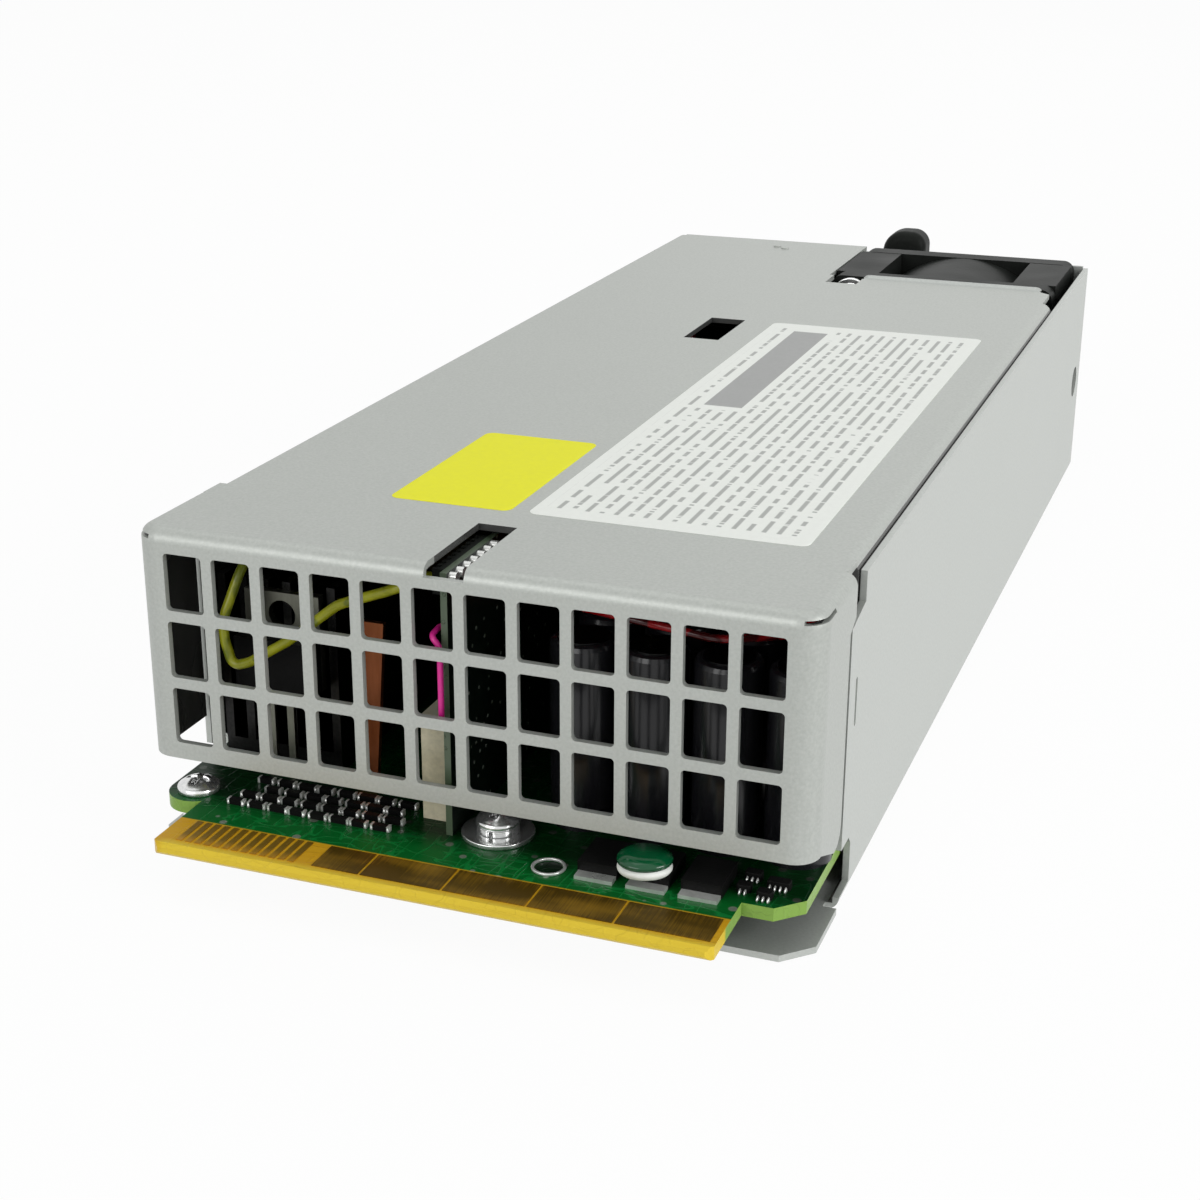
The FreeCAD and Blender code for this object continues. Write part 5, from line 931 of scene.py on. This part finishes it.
# %% [markdown]
# ## Solder on the small parts
# Every small part stands in two beads of solder, which catch the light as white sparks.
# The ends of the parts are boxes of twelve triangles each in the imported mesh, so their
# corners give the place and size of each bead. A bead is a squashed half ball, and its
# size varies a little from one to the next, as hand and oven leave it.

# %% Solder beads
BEAD_SWELL = (1.25, 1.75)
BEAD_DEPTH_SHARE = 0.86
BEAD_RISE = 1.12


def box_corners(name):
    """Lowest and highest corners of every box in a node made of plain boxes."""
    mesh = nodes[name].data
    mesh.calc_loop_triangles()
    corner = np.zeros(len(mesh.loop_triangles) * 3, dtype=np.int32)
    mesh.loop_triangles.foreach_get("vertices", corner)
    flat = np.zeros(len(mesh.vertices) * 3)
    mesh.vertices.foreach_get("co", flat)
    groups = flat.reshape(-1, 3)[corner].reshape(-1, 36, 3)
    return groups.min(1), groups.max(1)


def bead_mesh(low, high, swell):
    """A half ball squashed to the box: radii in X and Y and a height in Z."""
    middle_point = (low + high) / 2
    polar = np.linspace(0.0, np.pi / 2, 6)[:, None]
    angle = np.linspace(0.0, 2 * np.pi, 13)[None]
    radii = (high - low) / 2 * swell
    height = low[2] + (high[2] - low[2]) * BEAD_RISE * np.cos(polar)
    points = np.stack([middle_point[0] + radii[0] * np.sin(polar) * np.cos(angle),
                       middle_point[1] + radii[1] * np.sin(polar) * np.sin(angle),
                       np.repeat(height, angle.size, axis=1)], -1)
    points[:, -1] = points[:, 0]
    under = points[-1:] * [0, 0, 1] + np.array([middle_point[0], middle_point[1], 0.0])
    return close_mesh(sheet_mesh("bead", np.concatenate([points, under])))


lows, highs = box_corners("surface_part_ends")
print("part ends:", len(lows))
random = np.random.default_rng(7)
swells = random.uniform(*BEAD_SWELL, (len(lows), 1)) * [1.0, BEAD_DEPTH_SHARE, 1.0]
beads = [bead_mesh(*facts) for facts in zip(lows, highs, swells)]
join_meshes("solder_beads", beads, tin)

# %% [markdown]
# ## Fine packages
# The board's front right corner holds a few tiny moulded packages on silvery legs. A
# package is an oblong whose plan is a circle drawn out into its corners: the cosine and
# the sine of the angle are raised to a small power and keep their signs.

# %% Fine packages in the front right corner
PLAN_POWER = 0.3
FINE_PACKAGES = [(0.0347, 0.0036, 0.0027), (0.0319, 0.0046, 0.0020), (0.0343, 0.0008, 0.0018),
                 (0.0318, 0.0016, 0.0017)]
FINE_DEPTH, FINE_TALL = 0.0014, 0.0009
LEG_LONG, LEG_WIDE, LEG_PITCH = 0.0006, 0.00017, 0.0006


def moulded_mesh(low, high, corners=49):
    """A small moulded body: a rounded oblong in plan whose top edge is soft."""
    half, tall = (high - low) / 2, high[2] - low[2]
    profile = soft_profile([(0, 0, 0), (1, 0, 0.05), (0.94, 1, 0.09), (0, 1, 0)], 5)
    angle = np.linspace(0.0, 2 * np.pi, corners)
    plan = [np.sign(wave) * abs(wave) ** PLAN_POWER for wave in (np.cos(angle), np.sin(angle))]
    points = np.stack([low[0] + half[0] + half[0] * profile[:, :1] * plan[0],
                       low[1] + half[1] + half[1] * profile[:, :1] * plan[1],
                       low[2] + tall * np.repeat(profile[:, 1:], corners, axis=1)], -1)
    points[:, -1] = points[:, 0]
    return close_mesh(sheet_mesh("moulded", points))


bodies, legs = [], []
for left, front, wide in FINE_PACKAGES:
    corner = np.array([left, front, board_face])
    bodies.append(moulded_mesh(corner, corner + [wide, FINE_DEPTH, FINE_TALL]))
    leg_count = int(wide / LEG_PITCH)
    first = left + (wide - LEG_PITCH * (leg_count - 1)) / 2
    for index in range(leg_count):
        for side_y in (front, front + FINE_DEPTH):
            spot = np.array([first + LEG_PITCH * index, side_y, board_face])
            legs.append(bead_mesh(spot - [LEG_WIDE, LEG_LONG, 0],
                                  spot + [LEG_WIDE, LEG_LONG, FINE_TALL * 0.5], 1.0))
join_meshes("fine_packages", bodies, resin)
join_meshes("fine_legs", legs, tin)
print("fine packages:", len(bodies), "legs:", len(legs))

# %% [markdown]
# ## Two bare labels
# A yellow label and a white one lie on the cover. Each is a thin sheet with rounded
# corners, a hair above the steel. The yellow one is left bare. The white one is ruled
# with grey bars of different lengths, as a form has before anyone fills it in.

# %% The shape of a label
LABEL_CORNER = 0.0012
LABEL_LIFT = 0.00006


def label_mesh(name, x_span, y_span):
    """A rounded sheet: rings of one outline shrink to the middle and the rim bends down."""
    corner = np.linspace(0.0, np.pi / 2, 24)
    half = (x_span[1] - x_span[0]) / 2, (y_span[1] - y_span[0]) / 2
    centre = (x_span[0] + x_span[1]) / 2, (y_span[0] + y_span[1]) / 2
    ring = []
    for quarter, (sx, sy) in enumerate(((1, 1), (-1, 1), (-1, -1), (1, -1))):
        angle = corner + quarter * np.pi / 2
        ring.append(np.stack([sx * (half[0] - LABEL_CORNER) + LABEL_CORNER * np.cos(angle),
                              sy * (half[1] - LABEL_CORNER) + LABEL_CORNER * np.sin(angle)],
                             -1))
    ring = np.concatenate(ring + [ring[0][:1]])
    share = np.array([1.0, 1.0, 0.996, 0.7, 0.35, 0.0])
    height = np.array([0.0, 0.7, 1.0, 1.0, 1.0, 1.0]) * LABEL_LIFT
    points = np.zeros((len(share), len(ring), 3))
    points[:, :, :2] = share[:, None, None] * ring[None] + np.array(centre)
    points[:, :, 2] = cover_top + height[:, None]
    return close_mesh(sheet_mesh(name, points), is_sheet=True)


print("label shape ready")

# %% The labels' paper
LINE_PITCH = 0.00178
PRINT_X, PRINT_Y = (0.0012, 0.0315), (0.0235, 0.1235)
CLEAR_X, CLEAR_Y = (0.0035, 0.011), (0.072, 0.124)
BLOCK_X, BLOCK_Y = (0.0045, 0.0100), (0.074, 0.122)


def span_mask(value, low, high, soft=FADE):
    """1 between low and high."""
    return value.step(low, soft) * (1.0 - value.step(high, soft))


yellow = Paint("yellow_label_paper", Specular_IOR_Level=0.03)
fibre = yellow.noise(1500.0)
yellow_paper = yellow.put(
    Base_Color=yellow.mix(fibre, (0.86, 0.83, 0.03), (0.92, 0.89, 0.045)),
    Roughness=fibre * 0.2 + 0.35, Normal=yellow.bump(fibre, 0.000008))

white = Paint("white_label_paper", Specular_IOR_Level=0.2)
fibre = white.noise(1500.0)
paper = white.mix(fibre, (0.84, 0.85, 0.82), (0.91, 0.92, 0.89))
row = (white.x / LINE_PITCH).maths("FLOOR")
inside = white.x / LINE_PITCH - row
ruled = span_mask(inside, 0.34, 0.66, 0.10)
per_row = white.node("ShaderNodeCombineXYZ", {}, {0: row * 5.3, 1: white.y * 420.0})
bars = ruled * white.noise(1.0, 2.0, 0.6, per_row.outputs[0]).step(0.45, 0.02)
printed = bars * span_mask(white.y, *PRINT_Y) * span_mask(white.x, *PRINT_X)
clear = 1.0 - span_mask(white.x, *CLEAR_X) * span_mask(white.y, *CLEAR_Y)
paper = white.mix(printed * clear * 0.62, paper, (0.14, 0.14, 0.14))
block = span_mask(white.x, *BLOCK_X) * span_mask(white.y, *BLOCK_Y)
paper = white.mix(block, paper, (0.36, 0.36, 0.36))
white_paper = white.put(Base_Color=paper, Roughness=fibre * 0.2 + 0.35,
                        Normal=white.bump(fibre, 0.000008))
print("paper ready")

# %% The labels
labels = [("yellow_label", (-0.01795, -0.00235), (0.0204, 0.0505), yellow_paper),
          ("white_label", (-0.00015, 0.03365), (0.0205, 0.1270), white_paper)]
for name, x_span, y_span, material in labels:
    mesh = label_mesh(name, x_span, y_span)
    piece = add_object(name, mesh, material)
    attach(piece, "casing")
    print(name, "faces:", len(mesh.polygons))
